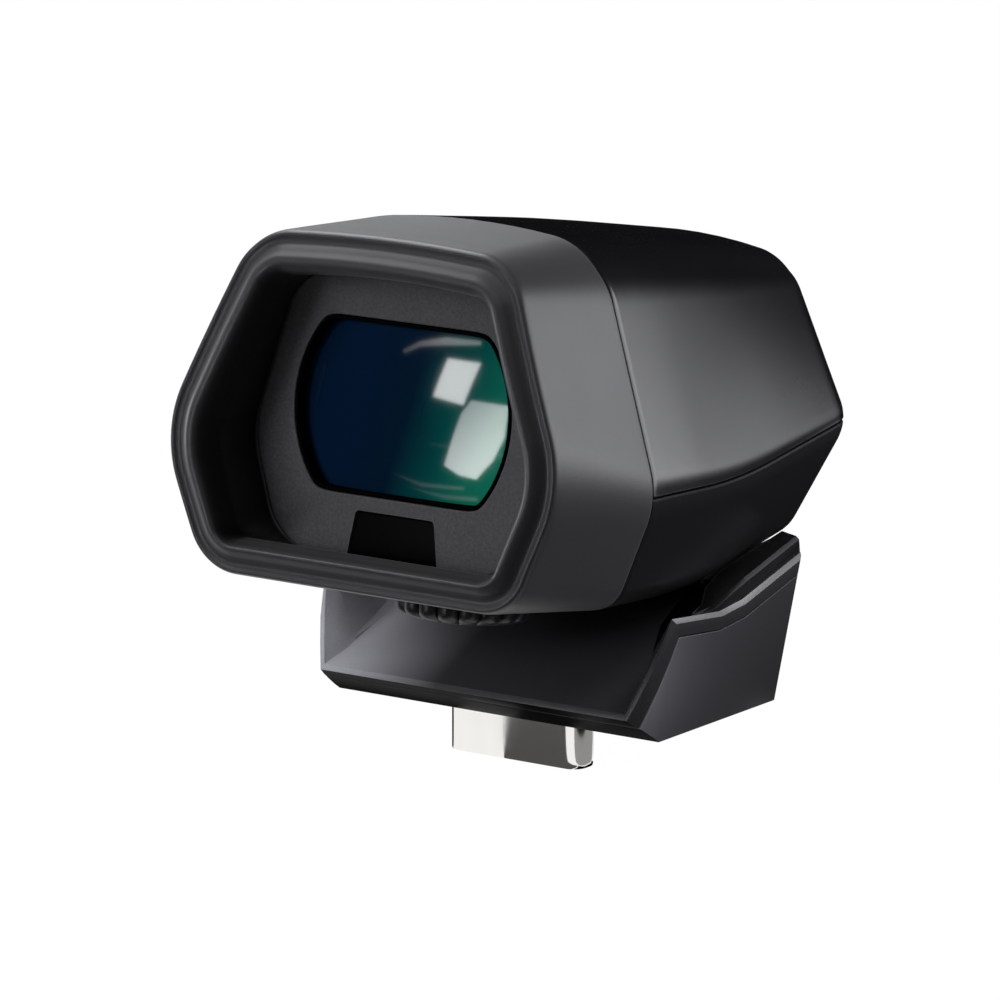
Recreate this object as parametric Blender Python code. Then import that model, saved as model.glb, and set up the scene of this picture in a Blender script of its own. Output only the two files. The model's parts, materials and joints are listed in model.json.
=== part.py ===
"""Electronic viewfinder: a hexagonal eyepiece head tilting on a cradle that plugs into a camera top.

Frame: x to the right of the user, y away from the eye, z up; the origin lies on the
underside of the cradle, which is the face that rests on the camera.
"""
import math

import bmesh
import bpy
from mathutils import Vector

# Placing of the head on the cradle
rest_pitch = math.radians(7.0)
rim_back_from_origin = 0.0458
rim_height = 0.0231
pivot_y = 0.0145
pivot_z = 0.0158

# General fits and resolutions
fit_gap = 0.0003
close_gap = 0.00015
overrun = 0.002
corner_steps = 4
roof_steps = 4
round_steps = 32
small_steps = 16
tiny_steps = 10
arc_steps = 8
lens_rows = 3
half = 0.5

# Head outline at the rim: half widths and heights of the virtual corners, corner radii
rim_y = 0.0
rim_roof_half = 0.0210
rim_roof_z = 0.0462
rim_waist_half = 0.0328
rim_waist_z = 0.0182
rim_floor_half = 0.0251
rim_floor_z = 0.0
rim_crown = 0.0009
rim_roof_radius = 0.0085
rim_waist_radius = 0.0170
rim_floor_radius = 0.0080

# Head outline at the seam between eyecup and housing, as steps from the rim
seam_y = 0.0213
seam_roof_half = rim_roof_half
seam_roof_lift = 0.0010
seam_roof_z = rim_roof_z + seam_roof_lift
seam_waist_draw = 0.0001
seam_waist_half = rim_waist_half - seam_waist_draw
seam_waist_drop = 0.0028
seam_waist_z = rim_waist_z - seam_waist_drop
seam_floor_spread = 0.0021
seam_floor_half = rim_floor_half + seam_floor_spread
seam_floor_drop = 0.0004
seam_floor_z = rim_floor_z - seam_floor_drop
seam_crown = 0.0019
seam_roof_radius = 0.0110
seam_waist_radius = 0.0110
seam_floor_radius = 0.0055

# Head outline where the flanks start to rise, as steps from the seam
bend_y = 0.0450
bend_roof_draw = 0.0015
bend_roof_half = seam_roof_half - bend_roof_draw
bend_roof_drop = 0.0008
bend_roof_z = seam_roof_z - bend_roof_drop
bend_waist_draw = 0.0019
bend_waist_half = seam_waist_half - bend_waist_draw
bend_waist_lift = 0.0011
bend_waist_z = seam_waist_z + bend_waist_lift
bend_floor_draw = 0.0026
bend_floor_half = seam_floor_half - bend_floor_draw
bend_floor_lift = 0.0006
bend_floor_z = seam_floor_z + bend_floor_lift
bend_crown = 0.0020
bend_roof_radius = 0.0100
bend_waist_radius = 0.0080
bend_floor_radius = 0.0055
bend_softness = 0.0090

# Head outline at the far end, before its rounding, as steps from the bend
tail_y = 0.0720
tail_roof_draw = 0.0016
tail_roof_half = bend_roof_half - tail_roof_draw
tail_roof_drop = 0.0020
tail_roof_z = bend_roof_z - tail_roof_drop
tail_waist_draw = 0.0015
tail_waist_half = bend_waist_half - tail_waist_draw
tail_waist_lift = 0.0061
tail_waist_z = bend_waist_z + tail_waist_lift
tail_floor_draw = 0.0034
tail_floor_half = bend_floor_half - tail_floor_draw
tail_floor_lift = 0.0056
tail_floor_z = bend_floor_z + tail_floor_lift
tail_crown = 0.0022
tail_roof_radius = 0.0075
tail_waist_radius = 0.0060
tail_floor_radius = 0.0055
tail_edge_radius = 0.0042
tail_edge_steps = 4
housing_stations = 9

# Rubber eyecup
rim_bow = 0.0016
rim_lean = 0.0012
rim_fade_depth = 0.0080
band_front_y = 0.0012
lip_front_y = -0.0008
lip_crest_inset = 0.0027
lip_inner_inset = 0.0056
lip_inner_y = 0.0012
lip_steps = 5
band_rows = 3
funnel_y = 0.0035
funnel_inset = 0.0062
plate_face_y = 0.0080
opening_roof_draw = 0.0032
opening_roof_half = rim_roof_half - opening_roof_draw
opening_roof_drop = 0.0054
opening_roof_z = rim_roof_z - opening_roof_drop
opening_waist_draw = 0.0082
opening_waist_half = rim_waist_half - opening_waist_draw
opening_waist_lift = 0.0004
opening_waist_z = rim_waist_z + opening_waist_lift
opening_floor_draw = 0.0065
opening_floor_half = rim_floor_half - opening_floor_draw
opening_floor_lift = 0.0042
opening_floor_z = rim_floor_z + opening_floor_lift
opening_crown = 0.0006
opening_roof_radius = 0.0060
opening_waist_radius = 0.0120
opening_floor_radius = 0.0060
skirt_thickness = 0.0022

# Eyepiece plate, window and proximity sensor
plate_thickness = 0.0022
optical_z = 0.0233
window_radius = 0.0176
window_half_height = 0.01135
window_steps = 12
sensor_roof_half = 0.00635
sensor_floor_half = 0.00765
sensor_roof_z = 0.0097
sensor_floor_z = 0.0030
sensor_recess = 0.0003
sensor_thickness = 0.0016
sensor_board_width = 0.0150
sensor_board_roof_z = 0.0092
sensor_board_floor_z = 0.0050
sensor_board_thickness = 0.0010
sensor_eye_radius = 0.0011
sensor_eye_spacing = 0.0068
sensor_eye_height = 0.0006

# Fixed front lens and its holder
lens_sag = 0.0015
lens_ring_shares = (1.0, 0.82, 0.6, 0.36, 0.12)
lens_front_recess = 0.0006
lens_rim_thickness = 0.0020
holder_radius = 0.0205
holder_half_height = 0.0134
holder_ledge = 0.0012
holder_floor_thickness = 0.0017

# Frame joining eyecup and housing
frame_wall = 0.0020
frame_rear_y = 0.0240

# Housing shells
housing_wall = 0.0020
seam_groove = 0.0003
parting_gap = 0.0003

# Optics chassis
chassis_front_y = 0.0155
chassis_plate = 0.0016
chassis_bore_radius = 0.0155
chassis_rear_y = 0.0460
chassis_rear_half_width = 0.0222
chassis_rear_half_height = 0.0095
chassis_light_half_width = 0.0080
chassis_light_half_height = 0.0052
beam_inner_x = 0.0176
beam_width = 0.0034
beam_floor_z = 0.0085
beam_height = 0.0070
foot_front_y = 0.0290
foot_rear_y = 0.0420
foot_x = 0.0193
foot_length = 0.0044
foot_floor_z = 0.0028
rod_x = 0.0190
rod_radius = 0.0010

# Sliding lens barrel
barrel_front_y = 0.0212
barrel_length = 0.0150
barrel_radius = 0.0148
barrel_wall = 0.0013
barrel_lip = 0.0010
barrel_lip_depth = 0.0010
lug_tip_x = 0.0208
lug_root_x = 0.0140
lug_height = 0.0040
lug_length = 0.0062
lug_front_gap = 0.0030
inner_lens_thickness = 0.0026
inner_lens_sag = 0.0007
spacer_length = 0.0016
spacer_wall = 0.0012
retainer_length = 0.0010

# Dioptre dial, pinion and rack
dial_y = 0.0260
dial_radius = 0.0094
dial_lobes = 18
dial_lobe_depth = 0.0011
dial_points_per_lobe = 6
dial_roof_z = -0.0010
dial_side_z = -0.0034
dial_floor_z = -0.0050
dial_floor_share = 0.80
dial_shoulder_share = 0.72
dial_well_radius = 0.0052
dial_well_depth = 0.0014
dial_bore_radius = 0.0014
shaft_radius = 0.0020
pinion_spigot_radius = 0.0011
pinion_pitch_radius = 0.0030
pinion_teeth = 12
tooth_height = 0.0009
tooth_root_share = 0.58
tooth_tip_share = 0.24
pinion_floor_z = 0.0048
pinion_height = 0.0026
rack_floor_z = 0.0050
rack_height = 0.0022
rack_teeth = 7
rack_back = 0.0016
rack_web_roof_z = 0.0098
dial_screw_head_radius = 0.0019
dial_screw_head_height = 0.0009
dial_screw_shank_radius = 0.0006
dial_screw_length = 0.0022
spigot_bore_radius = 0.0009
spigot_floor_gap = 0.0006

# Display, its holder and the driver board
holder_box_half_width = 0.0115
holder_box_half_height = 0.0085
display_seat_depth = 0.0046
display_half_width = 0.0078
display_half_height = 0.0056
display_thickness = 0.0014
holder_arm_width = 0.0020
board_y = 0.0580
board_half_width = 0.0150
board_half_height = 0.0110
board_thickness = 0.0012
chip_half = 0.0035
chip_height = 0.0009
flex_thickness = 0.0003
flex_half_width = 0.0035
flex_rise = 0.0040

# Tilt hinge
knuckle_radius = 0.0023
shaft_pin_radius = 0.0012
washer_thickness = 0.0006
washer_radius = knuckle_radius
ear_thickness = 0.0040
ear_side_gap = 0.0011
ear_foot_drop = 0.0007
leaf_half_thickness = 0.0014
leaf_side_step = 0.0020
arm_block_front_y = 0.0566
arm_block_rear_y = 0.0662
arm_block_floor_z = 0.0072
arm_block_height = 0.0030
arm_screw_x = 0.0080
arm_screw_y = 0.0640

# Screws
screw_head_radius = 0.0017
screw_head_height = 0.0009
screw_shank_radius = 0.0008
screw_socket_radius = 0.0008
screw_socket_depth = 0.0005
screw_bite = 0.0050
screw_sink = 0.0002
arm_screw_bite = 0.0046

# Cradle outline in side view, from the origin
base_front_foot_y = -0.0128
base_nose_y = -0.0188
base_nose_z = 0.0040
wall_front_y = -0.0128
wall_front_z = 0.0172
wall_low_y = -0.0010
wall_low_z = 0.0160
wall_bend_y = 0.0045
wall_bend_z = 0.0166
wall_rear_y = 0.0182
wall_rear_z = 0.0207
base_rear_foot_y = 0.0164
base_foot_half = 0.0265
nose_round_length = 0.0060
nose_round_width = 0.0018
nose_round_power = 1.6
rear_round = 0.0010
corner_round_steps = 4
edge_bevel = 0.0006
base_flare = 0.150
strip_width = 0.0024
strip_gap = 0.0002

# Trough of the cradle
wall_edge = 0.0007
wall_bevel = 0.0021
wall_bevel_depth = 0.0024
shoulder_width = 0.0018
shoulder_start_y = -0.0060
shoulder_full_y = 0.0060
shoulder_rise = 0.0017
shoulder_slope = 0.0004
shoulder_lip = 0.0005
shoulder_lip_rise = 0.0004
shoulder_crest_rise = 0.0008
shoulder_round = 0.0007
shoulder_root = 0.0014
shoulder_hug_z = 0.0180
shoulder_hug_gap = 0.0004
shoulder_hug_run_share = 0.55
shoulder_stations = 6
trough_bowl = 0.0080
trough_rows = 6
tub_front_depth = 0.0017
trough_nose_z = 0.0046
trough_level_y = 0.0055
trough_level_z = 0.0158
trough_floor_thickness = 0.0016
hinge_bay_y = 0.0114
hinge_bay_z = 0.0127
hinge_bay_wall = 0.0040
hinge_bay_half = base_foot_half - hinge_bay_wall
knuckle_half = hinge_bay_half - ear_side_gap - ear_thickness - washer_thickness - fit_gap - fit_gap
leaf_half_width = knuckle_half - leaf_side_step

# Tray walls and bosses
tray_wall = 0.0018
tray_floor = 0.0018
boss_radius = 0.0024
boss_front_y = -0.0015
boss_rear_y = 0.0110
boss_inset = 0.0058
boss_x = base_foot_half - boss_inset

# Plug
plug_y = -0.0067
plug_half_width = 0.0110
plug_half_depth = 0.0026
plug_corner_radius = 0.0022
plug_corner_steps = 5
plug_wall = 0.0005
plug_drop = 0.0071
plug_root_z = 0.0020
plug_cavity_roof_z = -0.0016
plug_tongue_wall = 0.0007
contact_count = 8
contact_pitch = 0.0022
contact_width = 0.0006
contact_thickness = 0.0003
contact_tip_z = -0.0058
contact_bar_height = 0.0006
plug_board_half_width = 0.0125
plug_board_half_depth = 0.0038
plug_board_thickness = 0.0009

# Captive mounting screw
mount_screw_y = 0.0059
mount_well_radius = 0.0048
mount_well_wall = 0.0012
mount_well_floor_z = 0.0082
mount_well_floor = 0.0012
mount_head_radius = 0.0044
mount_head_height = 0.0052
mount_head_groove = 0.0004
mount_grips = 20
mount_socket_radius = 0.0022
mount_socket_depth = 0.0024
mount_neck_radius = 0.00155
mount_thread_radius = 0.0020
mount_thread_roof_z = 0.0016
mount_tip_z = -0.0042
mount_tip_bevel = 0.0006
mount_hole_radius = 0.0026
clip_floor_z = 0.0022
clip_thickness = 0.0009
clip_radius = 0.0036
clip_bore_radius = 0.00185


def start_empty():
    for thing in list(bpy.data.objects):
        bpy.data.objects.remove(thing, do_unlink=True)


def make_material(name, colour, roughness, metallic=0.0):
    material = bpy.data.materials.new(name)
    material.use_nodes = True
    shader = material.node_tree.nodes["Principled BSDF"]
    shader.inputs["Base Color"].default_value = (*colour, 1.0)
    shader.inputs["Roughness"].default_value = roughness
    shader.inputs["Metallic"].default_value = metallic
    return material


def make_glass(name, colour, roughness):
    material = make_material(name, colour, roughness)
    shader = material.node_tree.nodes["Principled BSDF"]
    shader.inputs["Transmission Weight"].default_value = 0.85
    shader.inputs["IOR"].default_value = 1.6
    return material


def make_object(name, verts, faces, material=None, smooth_degrees=None):
    mesh = bpy.data.meshes.new(name)
    mesh.from_pydata([tuple(v) for v in verts], [], faces)
    mesh.validate()
    shape = bmesh.new()
    shape.from_mesh(mesh)
    bmesh.ops.recalc_face_normals(shape, faces=shape.faces)
    shape.to_mesh(mesh)
    shape.free()
    thing = bpy.data.objects.new(name, mesh)
    bpy.context.scene.collection.objects.link(thing)
    if material:
        mesh.materials.append(material)
    if smooth_degrees:
        soften(thing, smooth_degrees)
    return thing


def soften(thing, degrees):
    thing.data.shade_smooth()
    thing.data.set_sharp_from_angle(angle=math.radians(degrees))


def empty(name, location, pitch=0.0, parent=None):
    thing = bpy.data.objects.new(name, None)
    bpy.context.scene.collection.objects.link(thing)
    thing.location = location
    thing.rotation_euler = (pitch, 0.0, 0.0)
    if parent:
        thing.parent = parent
    return thing


def loft(name, rings, closed_loop=False, **look):
    """Skin through rings of equal point count; caps both ends, or joins last to first."""
    count = len(rings[0])
    verts = [point for ring in rings for point in ring]
    faces = []
    spans = len(rings) if closed_loop else len(rings) - 1
    for k in range(spans):
        a = k * count
        b = ((k + 1) % len(rings)) * count
        for i in range(count):
            j = (i + 1) % count
            faces.append((a + i, a + j, b + j, b + i))
    if not closed_loop:
        faces.append(tuple(range(count)))
        faces.append(tuple((len(rings) - 1) * count + i for i in range(count)))
    return make_object(name, verts, faces, **look)


def combine(thing, others, operation):
    """Exact Boolean of thing with each of the others, which are used up."""
    for other in others:
        step = thing.modifiers.new("combine", "BOOLEAN")
        step.operation = operation
        step.solver = "EXACT"
        step.object = other
        bpy.context.view_layer.update()
        graph = bpy.context.evaluated_depsgraph_get()
        mesh = bpy.data.meshes.new_from_object(thing.evaluated_get(graph))
        thing.modifiers.remove(step)
        old = thing.data
        thing.data = mesh
        bpy.data.meshes.remove(old)
        bpy.data.objects.remove(other, do_unlink=True)
    return thing


def clean(thing, distance=1e-6):
    shape = bmesh.new()
    shape.from_mesh(thing.data)
    bmesh.ops.remove_doubles(shape, verts=shape.verts, dist=distance)
    bmesh.ops.dissolve_degenerate(shape, edges=shape.edges, dist=distance)
    shape.to_mesh(thing.data)
    shape.free()
    return thing


def cut(thing, *others):
    return clean(combine(thing, others, "DIFFERENCE"))


def join(thing, *others):
    return clean(combine(thing, others, "UNION"))


def box(name, low, high, **look):
    rings = [[(x, low[1], z), (x, high[1], z), (x, high[1], w), (x, low[1], w)]
             for x, z, w in ((low[0], low[2], high[2]), (high[0], low[2], high[2]))]
    return loft(name, rings, **look)


def prism(name, outline, near, far, place, **look):
    """Outline swept from near to far; place turns (u, v, depth) into a point."""
    rings = [[place(u, v, depth) for u, v in outline] for depth in (near, far)]
    return loft(name, rings, **look)


def along_y(u, v, depth):
    return (u, depth, v)


def along_z(u, v, depth):
    return (u, v, depth)


def turned(name, profile, steps, place, centre=(0.0, 0.0), **look):
    """Profile of (radius, depth) pairs turned round an axis; zero radii close the ends."""
    verts = []
    faces = []
    rows = []
    for radius, depth in profile:
        if radius <= 0.0:
            rows.append([len(verts)])
            verts.append(place(centre[0], centre[1], depth))
            continue
        rows.append(list(range(len(verts), len(verts) + steps)))
        for i in range(steps):
            angle = math.tau * i / steps
            verts.append(place(centre[0] + radius * math.cos(angle),
                               centre[1] + radius * math.sin(angle), depth))
    pairs = list(zip(rows, rows[1:]))
    if profile[0][0] > 0.0:
        pairs.append((rows[-1], rows[0]))
    for first, second in pairs:
        for i in range(steps):
            j = (i + 1) % steps
            if len(first) == 1:
                faces.append((first[0], second[j], second[i]))
            elif len(second) == 1:
                faces.append((first[i], first[j], second[0]))
            else:
                faces.append((first[i], first[j], second[j], second[i]))
    return make_object(name, verts, faces, **look)


def rod(name, radius, near, far, steps, place, centre=(0.0, 0.0), **look):
    return turned(name, [(0.0, near), (radius, near), (radius, far), (0.0, far)],
                  steps, place, centre, **look)


def ring(name, inner, outer, near, far, steps, place, centre=(0.0, 0.0), **look):
    return turned(name, [(inner, near), (outer, near), (outer, far), (inner, far)],
                  steps, place, centre, **look)


def ease(share):
    share = min(max(share, 0.0), 1.0)
    return share * share * (3.0 - 2.0 * share)


def mix(a, b, share):
    return a + (b - a) * share


def bend(start, middle, end, y):
    """Straight run from start to middle, then to end, softened round the bend."""
    first = (middle - start) / (bend_y - seam_y)
    second = (end - middle) / (tail_y - bend_y)
    past = y - bend_y
    if past <= -bend_softness:
        ramp = 0.0
    elif past >= bend_softness:
        ramp = past
    else:
        ramp = (past + bend_softness) ** 2 / (4.0 * bend_softness)
    return start + first * (y - seam_y) + (second - first) * ramp


rim_sizes = (rim_roof_half, rim_roof_z, rim_waist_half, rim_waist_z, rim_floor_half, rim_floor_z,
             rim_crown, rim_roof_radius, rim_waist_radius, rim_floor_radius)
seam_sizes = (seam_roof_half, seam_roof_z, seam_waist_half, seam_waist_z, seam_floor_half,
              seam_floor_z, seam_crown, seam_roof_radius, seam_waist_radius, seam_floor_radius)
bend_sizes = (bend_roof_half, bend_roof_z, bend_waist_half, bend_waist_z, bend_floor_half,
              bend_floor_z, bend_crown, bend_roof_radius, bend_waist_radius, bend_floor_radius)
tail_sizes = (tail_roof_half, tail_roof_z, tail_waist_half, tail_waist_z, tail_floor_half,
              tail_floor_z, tail_crown, tail_roof_radius, tail_waist_radius, tail_floor_radius)
opening_sizes = (opening_roof_half, opening_roof_z, opening_waist_half, opening_waist_z,
                 opening_floor_half, opening_floor_z, opening_crown, opening_roof_radius,
                 opening_waist_radius, opening_floor_radius)


def head_sizes(y):
    """Corner sizes of the outer head section at y."""
    if y <= seam_y:
        share = (y - rim_y) / (seam_y - rim_y)
        return tuple(mix(a, b, share) for a, b in zip(rim_sizes, seam_sizes))
    return tuple(bend(a, b, c, y) for a, b, c in zip(seam_sizes, bend_sizes, tail_sizes))


def inset_sizes(sizes, inset):
    """Sizes of the section whose six sides all lie inset further in."""
    roof_half, roof_z, waist_half, waist_z, floor_half, floor_z, crown = sizes[:7]
    upper = math.atan2(waist_half - roof_half, roof_z - waist_z)
    lower = math.atan2(waist_half - floor_half, waist_z - floor_z)
    roof_shift = inset / math.cos(upper) - inset * math.tan(upper)
    floor_shift = inset / math.cos(lower) - inset * math.tan(lower)
    bisect = (upper + lower) * half
    waist_shift = inset / math.cos(bisect)
    drop = waist_shift * math.sin((upper - lower) * half)
    radii = tuple(max(radius - inset, fit_gap) for radius in sizes[7:])
    waist_in = waist_shift * math.cos((upper - lower) * half)
    return (roof_half - roof_shift, roof_z - inset, waist_half - waist_in, waist_z - drop,
            floor_half - floor_shift, floor_z + inset, crown, *radii)


def fillet(before, corner, after, radius, steps):
    """Points of the arc that rounds a corner, from the side before to the side after."""
    before = Vector(before)
    corner = Vector(corner)
    after = Vector(after)
    one = (before - corner).normalized()
    two = (after - corner).normalized()
    angle = one.angle(two)
    reach = radius / math.tan(angle * half)
    centre = corner + (one + two).normalized() * (radius / math.sin(angle * half))
    start = corner + one * reach - centre
    turn = math.pi - angle
    side = math.copysign(1.0, start.cross(corner + two * reach - centre))
    points = []
    for k in range(steps + 1):
        a = side * turn * k / steps
        points.append(centre + Vector((start.x * math.cos(a) - start.y * math.sin(a),
                                       start.x * math.sin(a) + start.y * math.cos(a))))
    return points


def section_points(sizes):
    """Right waist, over the roof, left waist, and under the floor back again, as (x, z)."""
    roof_half, roof_z, waist_half, waist_z, floor_half, floor_z, crown = sizes[:7]
    roof_radius, waist_radius, floor_radius = sizes[7:]
    corners = [(waist_half, waist_z), (roof_half, roof_z), (-roof_half, roof_z),
               (-waist_half, waist_z), (-floor_half, floor_z), (floor_half, floor_z)]
    radii = (waist_radius, roof_radius, roof_radius, waist_radius, floor_radius, floor_radius)
    gaps = (1, roof_steps, 1, 1, 1, 1)
    arcs = [fillet(corners[k - 1], corners[k], corners[(k + 1) % 6], radii[k], corner_steps)
            for k in range(6)]
    middle = corner_steps // 2
    points = list(arcs[0][middle:])
    for k in range(6):
        here = arcs[k][-1]
        there = arcs[(k + 1) % 6][0]
        points += [here.lerp(there, i / gaps[k]) for i in range(1, gaps[k])]
        points += arcs[(k + 1) % 6] if k < 5 else arcs[0][:middle]
    raised = []
    for point in points:
        lift = crown * max(0.0, 1.0 - (point.x / roof_half) ** 2) if point.y > waist_z else 0.0
        raised.append((point.x, point.y + lift))
    return raised


def half_count():
    """Number of points from the right waist over the roof to the left waist, both included."""
    return 3 * corner_steps + roof_steps + 3


def rim_shift(y, z):
    """Bow and lean of the eyecup rim in side view, fading out towards the plate."""
    height = rim_roof_z
    share = (z + z - height) / height
    fade = 1.0 - ease(y / rim_fade_depth)
    return (rim_lean * z / height - rim_bow * (1.0 - share * share)) * fade


def head_ring(y, inset=0.0, sizes=None):
    sizes = sizes or inset_sizes(head_sizes(y), inset)
    return [(x, y + rim_shift(y, z), z) for x, z in section_points(sizes)]


def eyecup(material):
    """Band, rolled lip, funnel and skirt in one closed run round the head."""
    rings = [head_ring(seam_y - seam_groove, skirt_thickness)]
    for k in range(band_rows + 1):
        share = k / band_rows
        rings.append(head_ring(mix(seam_y - seam_groove, band_front_y, share)))
    for k in range(1, lip_steps + 1):
        angle = math.pi * half * k / lip_steps
        rings.append(head_ring(mix(band_front_y, lip_front_y, math.sin(angle)),
                               lip_crest_inset * (1.0 - math.cos(angle))))
    for k in range(1, lip_steps):
        angle = math.pi * half * k / (lip_steps - 1)
        rings.append(head_ring(mix(lip_inner_y, lip_front_y, math.cos(angle)),
                               mix(lip_crest_inset, lip_inner_inset, math.sin(angle))))
    rings.append(head_ring(funnel_y, funnel_inset))
    rings.append(head_ring(plate_face_y, sizes=opening_sizes))
    rings.append(head_ring(plate_face_y, skirt_thickness))
    return loft("eyecup", rings, True, material=material, smooth_degrees=40)


def hex_ring(name, outer_inset, inner_inset, near, far, **look):
    """Ring that follows the head section, straight in y."""
    rings = [head_ring(near, inner_inset), head_ring(near, outer_inset),
             head_ring(far, outer_inset), head_ring(far, inner_inset)]
    return loft(name, rings, True, **look)


def hex_slab(name, inset, near, far, **look):
    return loft(name, [head_ring(near, inset), head_ring(far, inset)], **look)


def window_outline(radius, half_height):
    """Circle cut flat above and below, centred on the optical axis."""
    reach = math.asin(half_height / radius)
    points = []
    for side in (0.0, math.pi):
        for k in range(window_steps + 1):
            angle = side - reach + 2.0 * reach * k / window_steps
            points.append((radius * math.cos(angle), optical_z + radius * math.sin(angle)))
    return points


def sensor_outline(gap):
    """Trapezoid of the proximity window, drawn in by the gap."""
    return [(sensor_roof_half - gap, sensor_roof_z - gap), (-sensor_roof_half + gap, sensor_roof_z - gap),
            (-sensor_floor_half + gap, sensor_floor_z + gap), (sensor_floor_half - gap, sensor_floor_z + gap)]


plate_front_y = plate_face_y + fit_gap
plate_rear_y = plate_front_y + plate_thickness


def eyepiece_plate(material):
    plate = hex_slab("eyepiece_plate", skirt_thickness + fit_gap, plate_front_y, plate_rear_y,
                     material=material)
    return cut(plate,
               prism("window_cut", window_outline(window_radius, window_half_height),
                     plate_front_y - overrun, plate_rear_y + overrun, along_y),
               prism("sensor_cut", sensor_outline(0.0),
                     plate_front_y - overrun, plate_rear_y + overrun, along_y))


def sensor_window(material):
    near = plate_front_y + sensor_recess
    return prism("sensor_window", sensor_outline(close_gap), near, near + sensor_thickness,
                 along_y, material=material)


def sensor_board(material):
    near = plate_rear_y + sensor_eye_height + fit_gap
    board = box("sensor_board", (-sensor_board_width * half, near, sensor_board_floor_z),
                (sensor_board_width * half, near + sensor_board_thickness, sensor_board_roof_z),
                material=material)
    level = (sensor_board_floor_z + sensor_board_roof_z) * half
    for side in (-half, half):
        eye = rod("eye", sensor_eye_radius, near - sensor_eye_height, near + sensor_board_thickness * half,
                  tiny_steps, along_y, (side * sensor_eye_spacing, level))
        join(board, eye)
    return board


lens_radius = window_radius - fit_gap
lens_half_height = window_half_height - fit_gap
lens_edge_y = plate_front_y + lens_front_recess + lens_sag
lens_rear_y = lens_edge_y + lens_rim_thickness


def dome(radius, sag, distance_squared):
    """Height left of a shallow dome at the given squared distance from its axis."""
    return sag * (1.0 - distance_squared / radius ** 2)


def front_lens(material):
    """Convex lens cut flat above and below; rings shrink towards the optical axis."""
    rings = []
    for share in lens_ring_shares:
        points = []
        for x, z in window_outline(lens_radius, lens_half_height):
            u = x * share
            w = (z - optical_z) * share
            points.append((u, lens_edge_y - dome(lens_radius, lens_sag, u * u + w * w), optical_z + w))
        rings.append(points)
    back = [(x, lens_rear_y, z) for x, z in window_outline(lens_radius, lens_half_height)]
    return loft("front_lens", [back] + rings, material=material, smooth_degrees=30)


def lens_holder(material):
    near = plate_rear_y + fit_gap
    seat = lens_rear_y + fit_gap
    far = seat + holder_floor_thickness
    holder = prism("lens_holder", window_outline(holder_radius, holder_half_height), near, far,
                   along_y, material=material, smooth_degrees=30)
    return cut(holder,
               prism("pocket", window_outline(window_radius, window_half_height),
                     near - overrun, seat, along_y),
               prism("ledge", window_outline(window_radius - holder_ledge, window_half_height - holder_ledge),
                     near - overrun, far + overrun, along_y))


def front_frame(material):
    outer = skirt_thickness + fit_gap
    return hex_ring("front_frame", outer, outer + frame_wall, plate_rear_y + fit_gap, frame_rear_y,
                    material=material, smooth_degrees=40)


def shell_rings(upper, inset, near, far_inset):
    """Half sections from the seam to the rounded far end, closed along the parting line."""
    count = half_count()
    stations = [(mix(near, tail_y - far_inset, k / (housing_stations - 1)), 0.0)
                for k in range(housing_stations)]
    edge = max(tail_edge_radius - inset, fit_gap)
    for k in range(1, tail_edge_steps + 1):
        angle = math.pi * half * k / tail_edge_steps
        stations.append((tail_y - far_inset + edge * math.sin(angle), edge * (1.0 - math.cos(angle))))
    rings = []
    for y, more in stations:
        whole = section_points(inset_sizes(head_sizes(y), inset + more))
        part = whole[:count] if upper else whole[count - 1:] + whole[:1]
        waist = head_sizes(y)[3]
        sign = 1.0 if upper else -1.0
        level = waist + sign * parting_gap * half
        if inset > 0.0:
            level -= sign * overrun
            part = [(part[0][0], level)] + part + [(part[-1][0], level)]
        else:
            part = [(part[0][0], level)] + part[1:-1] + [(part[-1][0], level)]
        rings.append([(x, y, z) for x, z in part])
    return rings


def housing(name, upper, material):
    near = seam_y + seam_groove
    shell = loft(name, shell_rings(upper, 0.0, near, 0.0), material=material)
    inner = loft("inner", shell_rings(upper, housing_wall, near - overrun, 0.0))
    return cut(shell, inner)


def screw_pocket(x, y, floor_z):
    """Stepped hole from below: room for the head, then for the shank."""
    head = rod("pocket", screw_head_radius + fit_gap, floor_z - overrun,
               floor_z + screw_head_height + fit_gap, small_steps, along_z, (x, y))
    return join(head, rod("shank_hole", screw_shank_radius + fit_gap, floor_z,
                          floor_z + screw_head_height + screw_bite + overrun, small_steps, along_z, (x, y)))


def floor_level(y):
    return head_sizes(y)[5]


def screw(name, x, y, floor_z, length, material):
    """Cap screw driven from below: head flush with its floor, socket in the head."""
    top = floor_z + screw_head_height
    profile = [(0.0, floor_z + screw_socket_depth), (screw_socket_radius, floor_z + screw_socket_depth),
               (screw_socket_radius, floor_z), (screw_head_radius, floor_z), (screw_head_radius, top),
               (screw_shank_radius, top), (screw_shank_radius, top + length), (0.0, top + length)]
    return turned(name, profile, tiny_steps, along_z, (x, y), material=material,
                  smooth_degrees=40)


def lower_housing(material):
    shell = housing("lower_housing", False, material)
    cuts = [rod("dial_hole", shaft_radius + fit_gap, -overrun, housing_wall + overrun, small_steps,
                along_z, (0.0, dial_y)),
            box("arm_slot", (-leaf_half_width - fit_gap, pivot_along() - leaf_half_thickness - fit_gap,
                             floor_level(pivot_along()) - overrun),
                (leaf_half_width + fit_gap, pivot_along() + leaf_half_thickness + fit_gap,
                 arm_block_floor_z + overrun))]
    for x, y in housing_screw_places() + arm_screw_places():
        cuts.append(screw_pocket(x, y, floor_level(y)))
    cut(shell, *cuts)
    soften(shell, 30)
    return shell


def upper_housing(material):
    shell = housing("upper_housing", True, material)
    soften(shell, 30)
    return shell


def pivot_along():
    """Distance of the tilt axis behind the rim, along the head."""
    return ((pivot_y + rim_back_from_origin) * math.cos(rest_pitch)
            - (pivot_z - rim_height) * math.sin(rest_pitch))


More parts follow.
